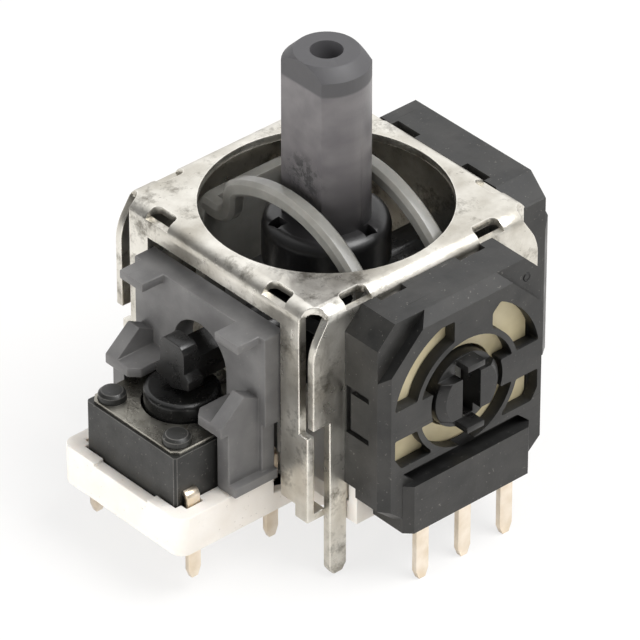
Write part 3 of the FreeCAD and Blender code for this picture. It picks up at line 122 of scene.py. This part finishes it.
def cloudy(tree, place, size_mm, detail, roughness, high, dark, light):
    """A colour that wanders between two hex colours in clouds about size_mm across."""
    noise = add_node(tree, "ShaderNodeTexNoise", vector=place, scale=noise_scale(size_mm),
                     detail=detail, roughness=roughness)
    share = add_node(tree, "ShaderNodeMapRange", value=noise, from_min=0.35, from_max=high)
    return add_node(tree, "ShaderNodeMix", OF_COLOURS, COLOUR_RESULT, in_0=share,
                    in_6=hex_colour(dark), in_7=hex_colour(light))


def patches(tree, place, size_mm, low, high, amount=1.0, detail=2.0, roughness=0.5):
    """Patches about size_mm across that start where noise passes low and reach amount at high."""
    noise = add_node(tree, "ShaderNodeTexNoise", vector=place, scale=noise_scale(size_mm),
                     detail=detail, roughness=roughness)
    return add_node(tree, "ShaderNodeMapRange", value=noise, from_min=low, from_max=high,
                    to_max=amount)


def scratches(tree, place, turn, length_mm, width_mm, low, high):
    """Lines that run one way: patches drawn out along one direction."""
    drawn = add_node(tree, "ShaderNodeMapping", vector=place, rotation=turn,
                     scale=(width_mm / length_mm, 1.0, 1.0))
    return patches(tree, drawn, width_mm, low, high)


def uneven_gloss(tree, place, size_mm, gloss):
    """A roughness that wanders a little, as on handled surfaces."""
    noise = add_node(tree, "ShaderNodeTexNoise", vector=place, scale=noise_scale(size_mm),
                     detail=5.0)
    return add_node(tree, "ShaderNodeMapRange", value=noise, from_min=0.3, from_max=0.7,
                    to_min=gloss - GLOSS_SPREAD, to_max=gloss + GLOSS_SPREAD)


def mould_plastic(name, dark, light, gloss, dust=0.35):
    """Injection-moulded thermoplastic: cloudy colour, uneven gloss, the fine skin of an eroded
    mould, chance scratches and a little pale dust. Dust, skin and scratches are finer on the real
    thing and are drawn 0.05 to 0.1 mm wide, so that they show."""
    material, tree, place = new_material(name)
    clouds = cloudy(tree, place, 0.8, 4.0, 0.5, 0.7, dark, light)
    colour = add_node(tree, "ShaderNodeMix", OF_COLOURS, COLOUR_RESULT,
                      in_0=patches(tree, place, 0.07, 0.68, 0.76, dust),
                      in_6=clouds, in_7=hex_colour("#8f8b84"))
    lines = scratches(tree, place, HANDLING, 1.6, 0.05, 0.66, 0.74)
    rough = add_node(tree, "ShaderNodeMath", MULTIPLY_ADD, in_0=lines, in_1=0.2,
                     in_2=uneven_gloss(tree, place, 0.35, gloss))
    skin = add_node(tree, "ShaderNodeTexNoise", vector=place, scale=noise_scale(0.1), detail=3.0)
    height = add_node(tree, "ShaderNodeMath", MULTIPLY_ADD, in_0=lines, in_1=-0.5, in_2=skin)
    relief = add_node(tree, "ShaderNodeBump", strength=0.2, distance=RELIEF_DEPTH, height=height)
    shader = add_node(tree, "ShaderNodeBsdfPrincipled", base_color=colour, roughness=rough,
                      ior=1.5, normal=relief)
    add_node(tree, "ShaderNodeOutputMaterial", surface=shader)
    return material


def polished_lever():
    """Glass-filled nylon, moulded: matt and darker on its end, then polished by the mould and a
    little streaked along the lever, with a scuffed patch low on the flat that faces the switch,
    and painted shade that darkens it down towards the frame.
    Its grain is drawn 0.09 mm wide, coarser than the glass, so that it shows."""
    material, tree, place = new_material("glass_filled_nylon_lever")
    up = add_node(tree, "ShaderNodeSeparateXYZ", output="Z", vector=place)
    crown = add_node(tree, "ShaderNodeMapRange", value=up, from_min=LEVER_CROWN_MM[0] * MM,
                     from_max=LEVER_CROWN_MM[1] * MM)
    # Painted shade: the lever darkens to near black towards its foot, where the frame shades it.
    foot_painted_shade = add_node(tree, "ShaderNodeMapRange", value=up, from_min=LEVER_SHADE_MM[0] * MM,
                    from_max=LEVER_SHADE_MM[1] * MM)
    from_scar = add_node(tree, "ShaderNodeVectorMath", {"operation": "DISTANCE"}, "Value",
                         in_0=place, in_1=[value * MM for value in LEVER_SCAR_MM])
    near_scar = add_node(tree, "ShaderNodeMapRange", value=from_scar,
                         from_min=SCAR_REACH_MM[0] * MM, from_max=SCAR_REACH_MM[1] * MM)
    torn = patches(tree, place, 0.22, 0.45, 0.56, detail=5.0, roughness=0.65)
    scar = add_node(tree, "ShaderNodeMath", MULTIPLY, in_0=near_scar, in_1=torn)
    streaks = scratches(tree, place, DOWN_THE_PART, 6.0, 0.5, 0.35, 0.65)
    colour = hex_colour("#5d5a5c")
    for share, code in ((streaks, "#6c696a"), (crown, "#4a494b"), (foot_painted_shade, "#111112"),
                        (scar, "#3c3b3c")):
        colour = add_node(tree, "ShaderNodeMix", OF_COLOURS, COLOUR_RESULT, in_0=share,
                          in_6=colour, in_7=hex_colour(code))
    gloss = add_node(tree, "ShaderNodeMapRange", value=crown, to_min=0.27, to_max=0.5)
    wander = add_node(tree, "ShaderNodeTexNoise", vector=place, scale=noise_scale(0.3),
                      detail=4.0)
    rough = add_node(tree, "ShaderNodeMath", MULTIPLY_ADD, in_0=wander, in_1=0.12, in_2=gloss)
    glass = add_node(tree, "ShaderNodeTexNoise", vector=place, scale=noise_scale(0.09),
                     detail=3.0)
    height = add_node(tree, "ShaderNodeMath", MULTIPLY_ADD, in_0=scar, in_1=-2.5, in_2=glass)
    relief = add_node(tree, "ShaderNodeBump", strength=0.25, distance=RELIEF_DEPTH,
                      height=height)
    shader = add_node(tree, "ShaderNodeBsdfPrincipled", base_color=colour, roughness=rough,
                      ior=1.55, normal=relief)
    add_node(tree, "ShaderNodeOutputMaterial", surface=shader)
    return material


def tinned_steel(name, dark, light, gloss, smudge):
    """Cold-rolled sheet with a tin finish: pale grey metal, cloudy, with soft dark smudges, pores,
    rolling lines and handling scuffs. The dull film on it scatters some light, so it isn't quite
    all metal. The real pores and grain are finer than the 0.07 to 0.09 mm that they are drawn at,
    so that they show."""
    material, tree, place = new_material(name)
    colour = cloudy(tree, place, 1.6, 6.0, 0.6, 0.65, dark, light)
    smears = patches(tree, place, 0.75, 0.53, 0.67, smudge, detail=7.0, roughness=0.72)
    colour = add_node(tree, "ShaderNodeMix", OF_COLOURS, COLOUR_RESULT, in_0=smears,
                      in_6=colour, in_7=hex_colour("#6f6a60"))
    pores = add_node(tree, "ShaderNodeMath", MULTIPLY,
                     in_0=patches(tree, place, 0.09, 0.68, 0.76, smudge * 0.7),
                     in_1=patches(tree, place, 1.3, 0.5, 0.62))
    colour = add_node(tree, "ShaderNodeMix", OF_COLOURS, COLOUR_RESULT, in_0=pores,
                      in_6=colour, in_7=hex_colour("#6a655a"))
    waves = add_node(tree, "ShaderNodeTexNoise", vector=place, scale=noise_scale(0.5),
                     detail=2.0)
    grain = add_node(tree, "ShaderNodeTexNoise", vector=place, scale=noise_scale(0.07),
                     detail=3.0)
    height = add_node(tree, "ShaderNodeMath", MULTIPLY_ADD, in_0=waves, in_1=3.0, in_2=grain)
    lines = scratches(tree, place, ALONG_THE_SHEET, 3.0, 0.12, 0.3, 0.7)
    height = add_node(tree, "ShaderNodeMath", MULTIPLY_ADD, in_0=lines, in_1=0.12, in_2=height)
    relief = add_node(tree, "ShaderNodeBump", strength=0.5, distance=RELIEF_DEPTH, height=height)
    shader = add_node(tree, "ShaderNodeBsdfPrincipled", base_color=colour, metallic=0.95,
                      roughness=uneven_gloss(tree, place, 0.5, gloss), normal=relief)
    add_node(tree, "ShaderNodeOutputMaterial", surface=shader)
    return material


def bright_metal(name, dark, light, roughness):
    """Plated or drawn metal: cloudy tin, with draw lines down the strip, which are drawn 0.08 mm
    wide so that they show."""
    material, tree, place = new_material(name)
    colour = cloudy(tree, place, 0.5, 4.0, 0.5, 0.65, dark, light)
    lines = scratches(tree, place, DOWN_THE_PART, 2.0, 0.08, 0.3, 0.7)
    relief = add_node(tree, "ShaderNodeBump", strength=0.25, distance=0.5 * RELIEF_DEPTH,
                      height=lines)
    shader = add_node(tree, "ShaderNodeBsdfPrincipled", base_color=colour, metallic=1.0,
                      roughness=roughness, normal=relief)
    add_node(tree, "ShaderNodeOutputMaterial", surface=shader)
    return material


def waxy_plastic(name, dark, light, roughness, depth_mm, see_in):
    """Unfilled acetal or nylon, moulded: pale and waxy. Light passes a little way in, and dust
    sits on it, drawn 0.08 mm wide so that it shows."""
    material, tree, place = new_material(name)
    clouds = cloudy(tree, place, 1.4, 5.0, 0.6, 0.7, dark, light)
    colour = add_node(tree, "ShaderNodeMix", OF_COLOURS, COLOUR_RESULT,
                      in_0=patches(tree, place, 0.08, 0.69, 0.76, 0.4),
                      in_6=clouds, in_7=hex_colour("#8d8578"))
    ripples = add_node(tree, "ShaderNodeTexNoise", vector=place, scale=noise_scale(0.3),
                       detail=4.0)
    relief = add_node(tree, "ShaderNodeBump", strength=0.25, distance=RELIEF_DEPTH,
                      height=ripples)
    shader = add_node(tree, "ShaderNodeBsdfPrincipled", base_color=colour, roughness=roughness,
                      subsurface_weight=see_in, subsurface_radius=(1.0, 0.9, 0.8),
                      subsurface_scale=depth_mm * MM, normal=relief)
    add_node(tree, "ShaderNodeOutputMaterial", surface=shader)
    return material


# Cold-rolled steel, tinned, pressed and folded: soft pale glints between dark smudges.
steel = tinned_steel("tinned_steel_sheet", "#b9b4a9", "#ece9e1", 0.34, 0.85)
# The same sheet where the press sheared it: cleaner, smoother and brighter.
steel_edge = tinned_steel("sheared_steel_edge", "#d3cfc5", "#ebe8e0", 0.26, 0.5)
# Stainless steel foil, punched: a thin dark shine, dulled by flux and fingers.
cover_metal = tinned_steel("stainless_switch_cover", "#8f8c84", "#bdbab0", 0.28, 0.9)
# Brass strip, stamped and tinned: a warm pale shine.
lead_metal = bright_metal("tinned_brass_lead", "#e2d3bd", "#f5eadb", 0.3)
# Spring steel, drawn or rolled: a clean grey shine.
spring_metal = bright_metal("music_wire", "#8c8a86", "#b5b2ac", 0.25)
# Phosphor bronze, rolled and stamped: a yellow-brown shine.
contact_metal = bright_metal("phosphor_bronze_contact", "#b98d4a", "#dcb56f", 0.3)
# White nylon, moulded: satin and warm, with soft edges where light passes in.
white_plastic = waxy_plastic("nylon_base", "#e6e0d8", "#f1ede7", 0.42, 0.5, 0.35)
# Acetal without pigment, moulded: milky and smooth; its colour is painted grey, a painted shade
# for the dark below it.
arch_plastic_painted_shade = waxy_plastic("natural_acetal_arch", "#75746f", "#8f8e89", 0.22, 0.9, 0.6)
# Glass-filled grey nylon, moulded: a matt end over polished, faintly streaked sides, darkened
# towards its foot by painted shade.
lever_plastic = polished_lever()
# Glass-filled PBT, moulded: near black, satin, with pale dust in its grain.
dark_plastic = mould_plastic("pbt_housing", "#181817", "#2c2b29", 0.38)
# Its edges, paler and smoother where flow and rubbing leave them so, and paler still as a painted
# highlight along them.
edge_wear_and_highlight = mould_plastic("pbt_housing_edge", "#3f3e3c", "#5a5855", 0.3)
# Its recesses: duller, and darker as painted shade.
painted_shade_plastic = mould_plastic("pbt_recess", "#0b0b0b", "#151514", 0.5, dust=0.2)
# Black acetal, moulded: a soft gloss where the moving parts rub.
arm_plastic = mould_plastic("acetal_rocker", "#101010", "#1c1b1a", 0.3, dust=0.2)
# Grey ABS, moulded: an even satin.
holder_plastic = mould_plastic("abs_holder", "#5c5b5b", "#706f6e", 0.42)
# Its edges, a shade paler.
holder_edge = mould_plastic("abs_holder_edge", "#5f5e5d", "#737170", 0.4)
# Black nylon, moulded: the switch's dull case.
switch_plastic = mould_plastic("nylon_switch_body", "#191918", "#272725", 0.42)
# Black acetal, moulded: the button, a little glossier than its case.
black_plastic = mould_plastic("acetal_plunger", "#0b0b0b", "#161615", 0.28, dust=0.25)
# Black acetal, moulded: the sensors' rotors.
rotor_plastic = mould_plastic("acetal_rotor", "#0f0f0f", "#1e1d1c", 0.34)
# Phenolic paper board, pressed and punched: tan and matt.
wafer_board = mould_plastic("phenolic_wafer", "#cfc29c", "#e2d6b3", 0.55, dust=0.1)


# Pieces made from the frame's nodes

FLAT_DEGREES = 0.5   # triangles bent less than this are one face
SHARP_DEGREES = 32   # edges bent more than this are rounded
SMOOTH_DEGREES = 40  # edges bent less than this are shaded as one surface
JOIN_MM = 1e-4       # points nearer than this are one
ROOM = 2.2           # an edge beside a rounded one is at least this many radii long
SAME_WAY = 0.8       # or carries it on, to this cosine

body_of_node = {node: body for body, names in frame["record"]["behaviour"]["bodies"].items()
                for node in names}


def joined_copy(node, merge_mm):
    """A node's mesh in millimetres, with its loose triangles joined into whole faces, and points
    that are nearer than merge_mm made one."""
    bm = bmesh.new()
    bm.from_mesh(nodes[node].data)
    bmesh.ops.scale(bm, vec=(1 / MM, 1 / MM, 1 / MM), verts=bm.verts)
    bmesh.ops.remove_doubles(bm, verts=bm.verts, dist=JOIN_MM)
    bmesh.ops.dissolve_limit(bm, angle_limit=math.radians(FLAT_DEGREES), verts=bm.verts,
                              edges=bm.edges)
    if merge_mm:
        bmesh.ops.remove_doubles(bm, verts=bm.verts, dist=merge_mm)
    return bm


def is_sharp(edge, degrees):
    return len(edge.link_faces) == 2 and edge.calc_face_angle(0.0) > math.radians(degrees)


def middle_of(edge):
    return (edge.verts[0].co + edge.verts[1].co) / 2


def has_room(edge, radius_mm, sharp):
    """Whether the edges that meet an edge leave room for it to be rounded without a fold: each is
    long enough, or carries the edge on in nearly the same direction."""
    for corner in edge.verts:
        way = (edge.other_vert(corner).co - corner.co).normalized()
        for other in corner.link_edges:
            step = other.other_vert(corner).co - corner.co
            runs_on = other in sharp and abs(step.normalized().dot(way)) >= SAME_WAY
            if other is not edge and step.length < ROOM * radius_mm and not runs_on:
                return False
    return True


def round_edges(bm, radius_mm, segments, slot, wanted=None, full=False):
    """Rounds the sharp edges a little, as moulding, shearing and wear leave them, and gives them
    the material in a slot. Blender makes the radius smaller everywhere if one edge is very short;
    full keeps the radius and leaves the edges beside a short one as they are."""
    chosen = [edge for edge in bm.edges
              if is_sharp(edge, SHARP_DEGREES) and (wanted is None or wanted(edge))]
    if full:
        sharp = set(chosen)
        chosen = [edge for edge in chosen if has_room(edge, radius_mm, sharp)]
    rounded = bmesh.ops.bevel(bm, geom=chosen, offset=radius_mm, offset_type="OFFSET",
                              segments=segments, profile=0.5, affect="EDGES",
                              clamp_overlap=not full, material=-1)
    for face in rounded["faces"]:
        face.material_index = slot


def add_object(name, bm, materials):
    """Turns a finished bmesh into an object in the scene."""
    mesh = bpy.data.meshes.new(name)
    bm.to_mesh(mesh)
    bm.free()
    for material in materials:
        mesh.materials.append(material)
    added = bpy.data.objects.new(name, mesh)
    bpy.context.scene.collection.objects.link(added)
    return added


def make_piece(name, bm, materials, node):
    """Turns a mesh in millimetres into a piece that moves with a node and has its slot."""
    bmesh.ops.scale(bm, vec=(MM, MM, MM), verts=bm.verts)
    for face in bm.faces:
        face.smooth = True
    piece = add_object(name, bm, materials)
    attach(piece, body_of_node[node])
    return piece


def dress(node, name, materials, radius_mm, segments=2, first=None, recess=None, merge_mm=0.0,
          full=False, smooth_degrees=SMOOTH_DEGREES):
    """The node's own shape with rounded edges, in the node's place. The second material is the
    rounded edges'. first rounds some of the edges before, as (radius, segments, which edges), and
    recess picks the faces that take the third material."""
    bm = joined_copy(node, merge_mm)
    if first is not None:
        first_radius_mm, first_segments, wanted = first
        round_edges(bm, first_radius_mm, first_segments, 0, wanted)
    if recess is not None:
        for face in bm.faces:
            if recess(face):
                face.material_index = 2
    round_edges(bm, radius_mm, segments, min(1, len(materials) - 1), full=full)
    for edge in bm.edges:
        edge.smooth = not is_sharp(edge, smooth_degrees)
    piece = make_piece(name, bm, materials, node)
    weighted = piece.modifiers.new("even_shading", "WEIGHTED_NORMAL")
    weighted.keep_sharp = True
    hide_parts(node)


def runs_along(axis, longest_mm):
    """Picks the short edges that run along one axis, such as the corners of a window."""
    def wanted(edge):
        way = edge.verts[1].co - edge.verts[0].co
        return abs(way[axis]) > 0.99 * way.length and way.length < longest_mm
    return wanted


def wall_corner(edge):
    """Picks the corners of the Y walls' slanted edges, beside the keyholes."""
    side_mm, low_mm, high_mm = 5.6, 9.5, 9.9
    middle = middle_of(edge)
    return runs_along(1, 0.6)(edge) and abs(middle.x) > side_mm and low_mm < middle.z < high_mm


def finger_corner(edge):
    """Picks the corners of the finger over the switch, seen from the switch's side."""
    tip_mm, shoulder_mm = -8.0, 7.2
    middle = middle_of(edge)
    return runs_along(0, 2.0)(edge) and middle.x < tip_mm and middle.z > shoulder_mm


def window_corners(axis):
    """Picks the corners of the windows in a sensor's face, which looks along axis."""
    back_mm, half_wide_mm, low_mm, high_mm = 8.5, 4.5, 3.3, 10.4
    short = runs_along(axis, 1.0)

    def wanted(edge):
        middle = middle_of(edge)
        in_face = abs(middle[axis]) > back_mm and abs(middle[1 - axis]) < half_wide_mm
        return short(edge) and in_face and low_mm < middle.z < high_mm
    return wanted


def window_walls(axis):
    """Picks the walls of the windows and slots in a sensor's face, which looks along axis, for the
    painted shade.
    """
    back_mm, front_mm, half_wide_mm, low_mm, high_mm = 8.4, 9.6, 4.45, 2.7, 10.6

    def wanted(face):
        middle = face.calc_center_median()
        deep = back_mm < abs(middle[axis]) < front_mm and abs(face.normal[axis]) < 0.5
        return deep and abs(middle[1 - axis]) < half_wide_mm and low_mm < middle.z < high_mm
    return wanted


def press_mark(name, place_mm, axis, radius_mm, node, material):
    """A round ejector mark: a low ring that stands a hair proud of the moulding. Its profile is
    in shares of the radius and heights in mm."""
    profile = [(1.0, 0.0), (1.0, 0.02), (0.82, 0.035), (0.66, 0.02), (0.5, 0.0), (0.0, -0.01)]
    bm = bmesh.new()
    verts = [bm.verts.new((radius_mm * share, 0.0, height_mm)) for share, height_mm in profile]
    edges = [bm.edges.new(pair) for pair in zip(verts, verts[1:])]
    bmesh.ops.spin(bm, geom=verts + edges, cent=(0, 0, 0), axis=(0, 0, 1), dvec=(0, 0, 0),
                   angle=2 * math.pi, steps=20, use_merge=True, use_normal_flip=False,
                   use_duplicate=False)
    bmesh.ops.remove_doubles(bm, verts=bm.verts, dist=JOIN_MM)
    bmesh.ops.recalc_face_normals(bm, faces=bm.faces)
    turn = Vector(axis).to_track_quat("Z", "Y").to_matrix()
    bmesh.ops.rotate(bm, cent=(0, 0, 0), matrix=turn, verts=bm.verts)
    bmesh.ops.translate(bm, vec=place_mm, verts=bm.verts)
    make_piece(name, bm, [material], node)


# The ejector mark takes the recesses' material, painted darker as shade.
press_mark("front_ejector_mark", (3.93, -8.72, 10.07), (0, -1, 0), 0.22, "front_pot_housing",
           painted_shade_plastic)
dress("frame_cover", "folded_frame", [steel, steel_edge], 0.06, first=(0.6, 5, wall_corner),
      full=True)
dress("base_tray", "moulded_base", [white_plastic], 0.12)
dress("switch_holder", "switch_clip", [holder_plastic, holder_edge], 0.06)
dress("switch_body", "switch_case", [switch_plastic, edge_wear_and_highlight], 0.05)
dress("switch_cover_plate", "switch_lid", [cover_metal], 0.03)
dress("switch_terminals", "switch_leads", [lead_metal], 0.04)
dress("switch_plunger", "push_button", [black_plastic], 0.14, 3)
dress("stick", "lever", [lever_plastic], 0.1, merge_mm=0.05)
dress("lower_arm", "rocker_arm", [arm_plastic], 0.12, 3, first=(0.3, 4, finger_corner),
      merge_mm=0.06)
dress("arch", "swinging_arch", [arch_plastic_painted_shade], 0.12, 3, merge_mm=0.06, smooth_degrees=55)
for side, axis in (("front", 1), ("side", 0)):
    dress(f"{side}_pot_housing", f"{side}_sensor_case",
          [dark_plastic, edge_wear_and_highlight, painted_shade_plastic], 0.06,
          first=(0.25, 3, window_corners(axis)), recess=window_walls(axis))
    dress(f"{side}_pot_wafer", f"{side}_resistor_wafer", [wafer_board], 0.03)
    dress(f"{side}_pot_terminals", f"{side}_sensor_leads", [lead_metal], 0.05)
    dress(f"{side}_rotor", f"{side}_sensor_rotor", [rotor_plastic], 0.05)

# These nodes show as the CAD made them and only get a material.
plain_nodes = {"switch_dome": spring_metal, "stick_pin": spring_metal,
               "return_spring": spring_metal, "spring_seat": dark_plastic,
               "front_wiper": contact_metal, "side_wiper": contact_metal}
for node, material in plain_nodes.items():
    nodes[node].data.materials.clear()
    nodes[node].data.materials.append(material)


# Floor, light and camera

LAMP_DISTANCE = 0.25
WHITE = (1.0, 1.0, 1.0, 1.0)
TENT_FAR_SIDE = (0.80, 0.25, 0.54)  # where reflections find the tent at its whitest


def towards(azimuth, elevation):
    """A direction away from the module. Azimuth 0 is the front, and turns go to the right."""
    a, e = math.radians(azimuth), math.radians(elevation)
    return Vector((math.sin(a) * math.cos(e), -math.cos(a) * math.cos(e), math.sin(e)))


def make_floor():
    """A wide sheet of uncoated white paper, matt and even, under the leads' tips. The camera sees
    it nearly as white as the surround, and reflections a little brighter than it is lit."""
    clearance = 0.02 * MM
    bm = bmesh.new()
    bmesh.ops.create_grid(bm, x_segments=1, y_segments=1, size=1.5)
    bmesh.ops.translate(bm, vec=(0, 0, cad_bounds[0][2] - clearance), verts=bm.verts)
    material, tree, _ = new_material("white_paper")
    paper = add_node(tree, "ShaderNodeBsdfPrincipled", base_color=hex_colour("#f4f2ef"),
                     roughness=0.9)
    glow = add_node(tree, "ShaderNodeEmission", color=WHITE, strength=1.0)
    glossy_ray = add_node(tree, "ShaderNodeLightPath", output="Is Glossy Ray")
    camera_ray = add_node(tree, "ShaderNodeLightPath", output="Is Camera Ray")
    mirrored = add_node(tree, "ShaderNodeMath", MULTIPLY, in_0=glossy_ray, in_1=0.3)
    seen = add_node(tree, "ShaderNodeMath", MULTIPLY_ADD, in_0=camera_ray, in_1=0.72,
                    in_2=mirrored)
    mixed = add_node(tree, "ShaderNodeMixShader", in_0=seen, in_1=paper, in_2=glow)
    add_node(tree, "ShaderNodeOutputMaterial", surface=mixed)
    floor = add_object("floor", bm, [material])


def make_world():
    """A white tent that lights the object softly. Reflections see it white on the far side and
    darker on the side of the camera."""
    world = bpy.data.worlds.new("surround")
    world.use_nodes = True
    tree = world.node_tree
    tree.nodes.clear()
    glossy_ray = add_node(tree, "ShaderNodeLightPath", output="Is Glossy Ray")
    camera_ray = add_node(tree, "ShaderNodeLightPath", output="Is Camera Ray")
    clear_ray = add_node(tree, "ShaderNodeLightPath", output="Is Transmission Ray")
    heading = add_node(tree, "ShaderNodeTexCoord", output="Generated")
    facing = add_node(tree, "ShaderNodeVectorMath", {"operation": "DOT_PRODUCT"}, "Value",
                      in_0=heading, in_1=TENT_FAR_SIDE)
    tent = add_node(tree, "ShaderNodeMapRange", value=facing, from_min=-0.1, from_max=0.62,
                    to_min=0.15, to_max=1.25)
    soft = add_node(tree, "ShaderNodeMapRange", value=glossy_ray, to_min=0.5, to_max=0.0)
    lit = add_node(tree, "ShaderNodeMath", MULTIPLY_ADD, in_0=tent, in_1=glossy_ray, in_2=soft)
    plain = add_node(tree, "ShaderNodeMath", {"operation": "MAXIMUM"}, in_0=camera_ray,
                     in_1=clear_ray)
    strength = add_node(tree, "ShaderNodeMix", {"data_type": "FLOAT"}, in_0=plain, in_2=lit,
                        in_3=1.0)
    background = add_node(tree, "ShaderNodeBackground", color=WHITE, strength=strength)
    add_node(tree, "ShaderNodeOutputWorld", surface=background)
    bpy.context.scene.world = world


def add_lamp(name, azimuth, elevation, size, power, mirrored):
    """A soft square lamp that looks at the module. Reflections show it if mirrored is true."""
    data = bpy.data.lights.new(name, "AREA")
    data.size = size
    data.energy = power
    lamp = bpy.data.objects.new(name, data)
    module_middle = Vector((0, 0, 8 * MM))
    away = towards(azimuth, elevation)
    lamp.location = module_middle + away * LAMP_DISTANCE
    lamp.rotation_euler = away.to_track_quat("Z", "Y").to_euler()
    lamp.visible_glossy = mirrored
    bpy.context.scene.collection.objects.link(lamp)


def make_camera():
    """The photograph's view: from the left of the front, a little above."""
    azimuth, elevation = -41.5, 34.8
    distance = 300 * MM
    picture_px = 640
    px_per_mm = 22.8
    frame_top = Vector((0, 0, 11.5 * MM))
    left_px, below_px = 6.5, 120.5  # from the frame's top to the picture's middle
    back = towards(azimuth, elevation)
    right = Vector((math.cos(math.radians(azimuth)), math.sin(math.radians(azimuth)), 0))
    up = back.cross(right)
    target = frame_top - right * (left_px * MM / px_per_mm) - up * (below_px * MM / px_per_mm)
    data = bpy.data.cameras.new("camera")
    data.sensor_width = 36.0
    data.lens = data.sensor_width * px_per_mm * (distance / MM) / picture_px
    data.clip_start = 0.01
    data.clip_end = 10.0
    camera = bpy.data.objects.new("camera", data)
    axes = Matrix((right, up, back)).transposed().to_4x4()
    camera.matrix_world = Matrix.Translation(target + back * distance) @ axes
    bpy.context.scene.collection.objects.link(camera)
    bpy.context.scene.camera = camera


make_floor()
make_world()
add_lamp("key_softbox", 28, 60, 0.16, 0.58, mirrored=True)
add_lamp("left_softbox", -98, 10, 0.2, 0.5, mirrored=False)
make_camera()
bpy.context.scene.view_settings.view_transform = "Standard"
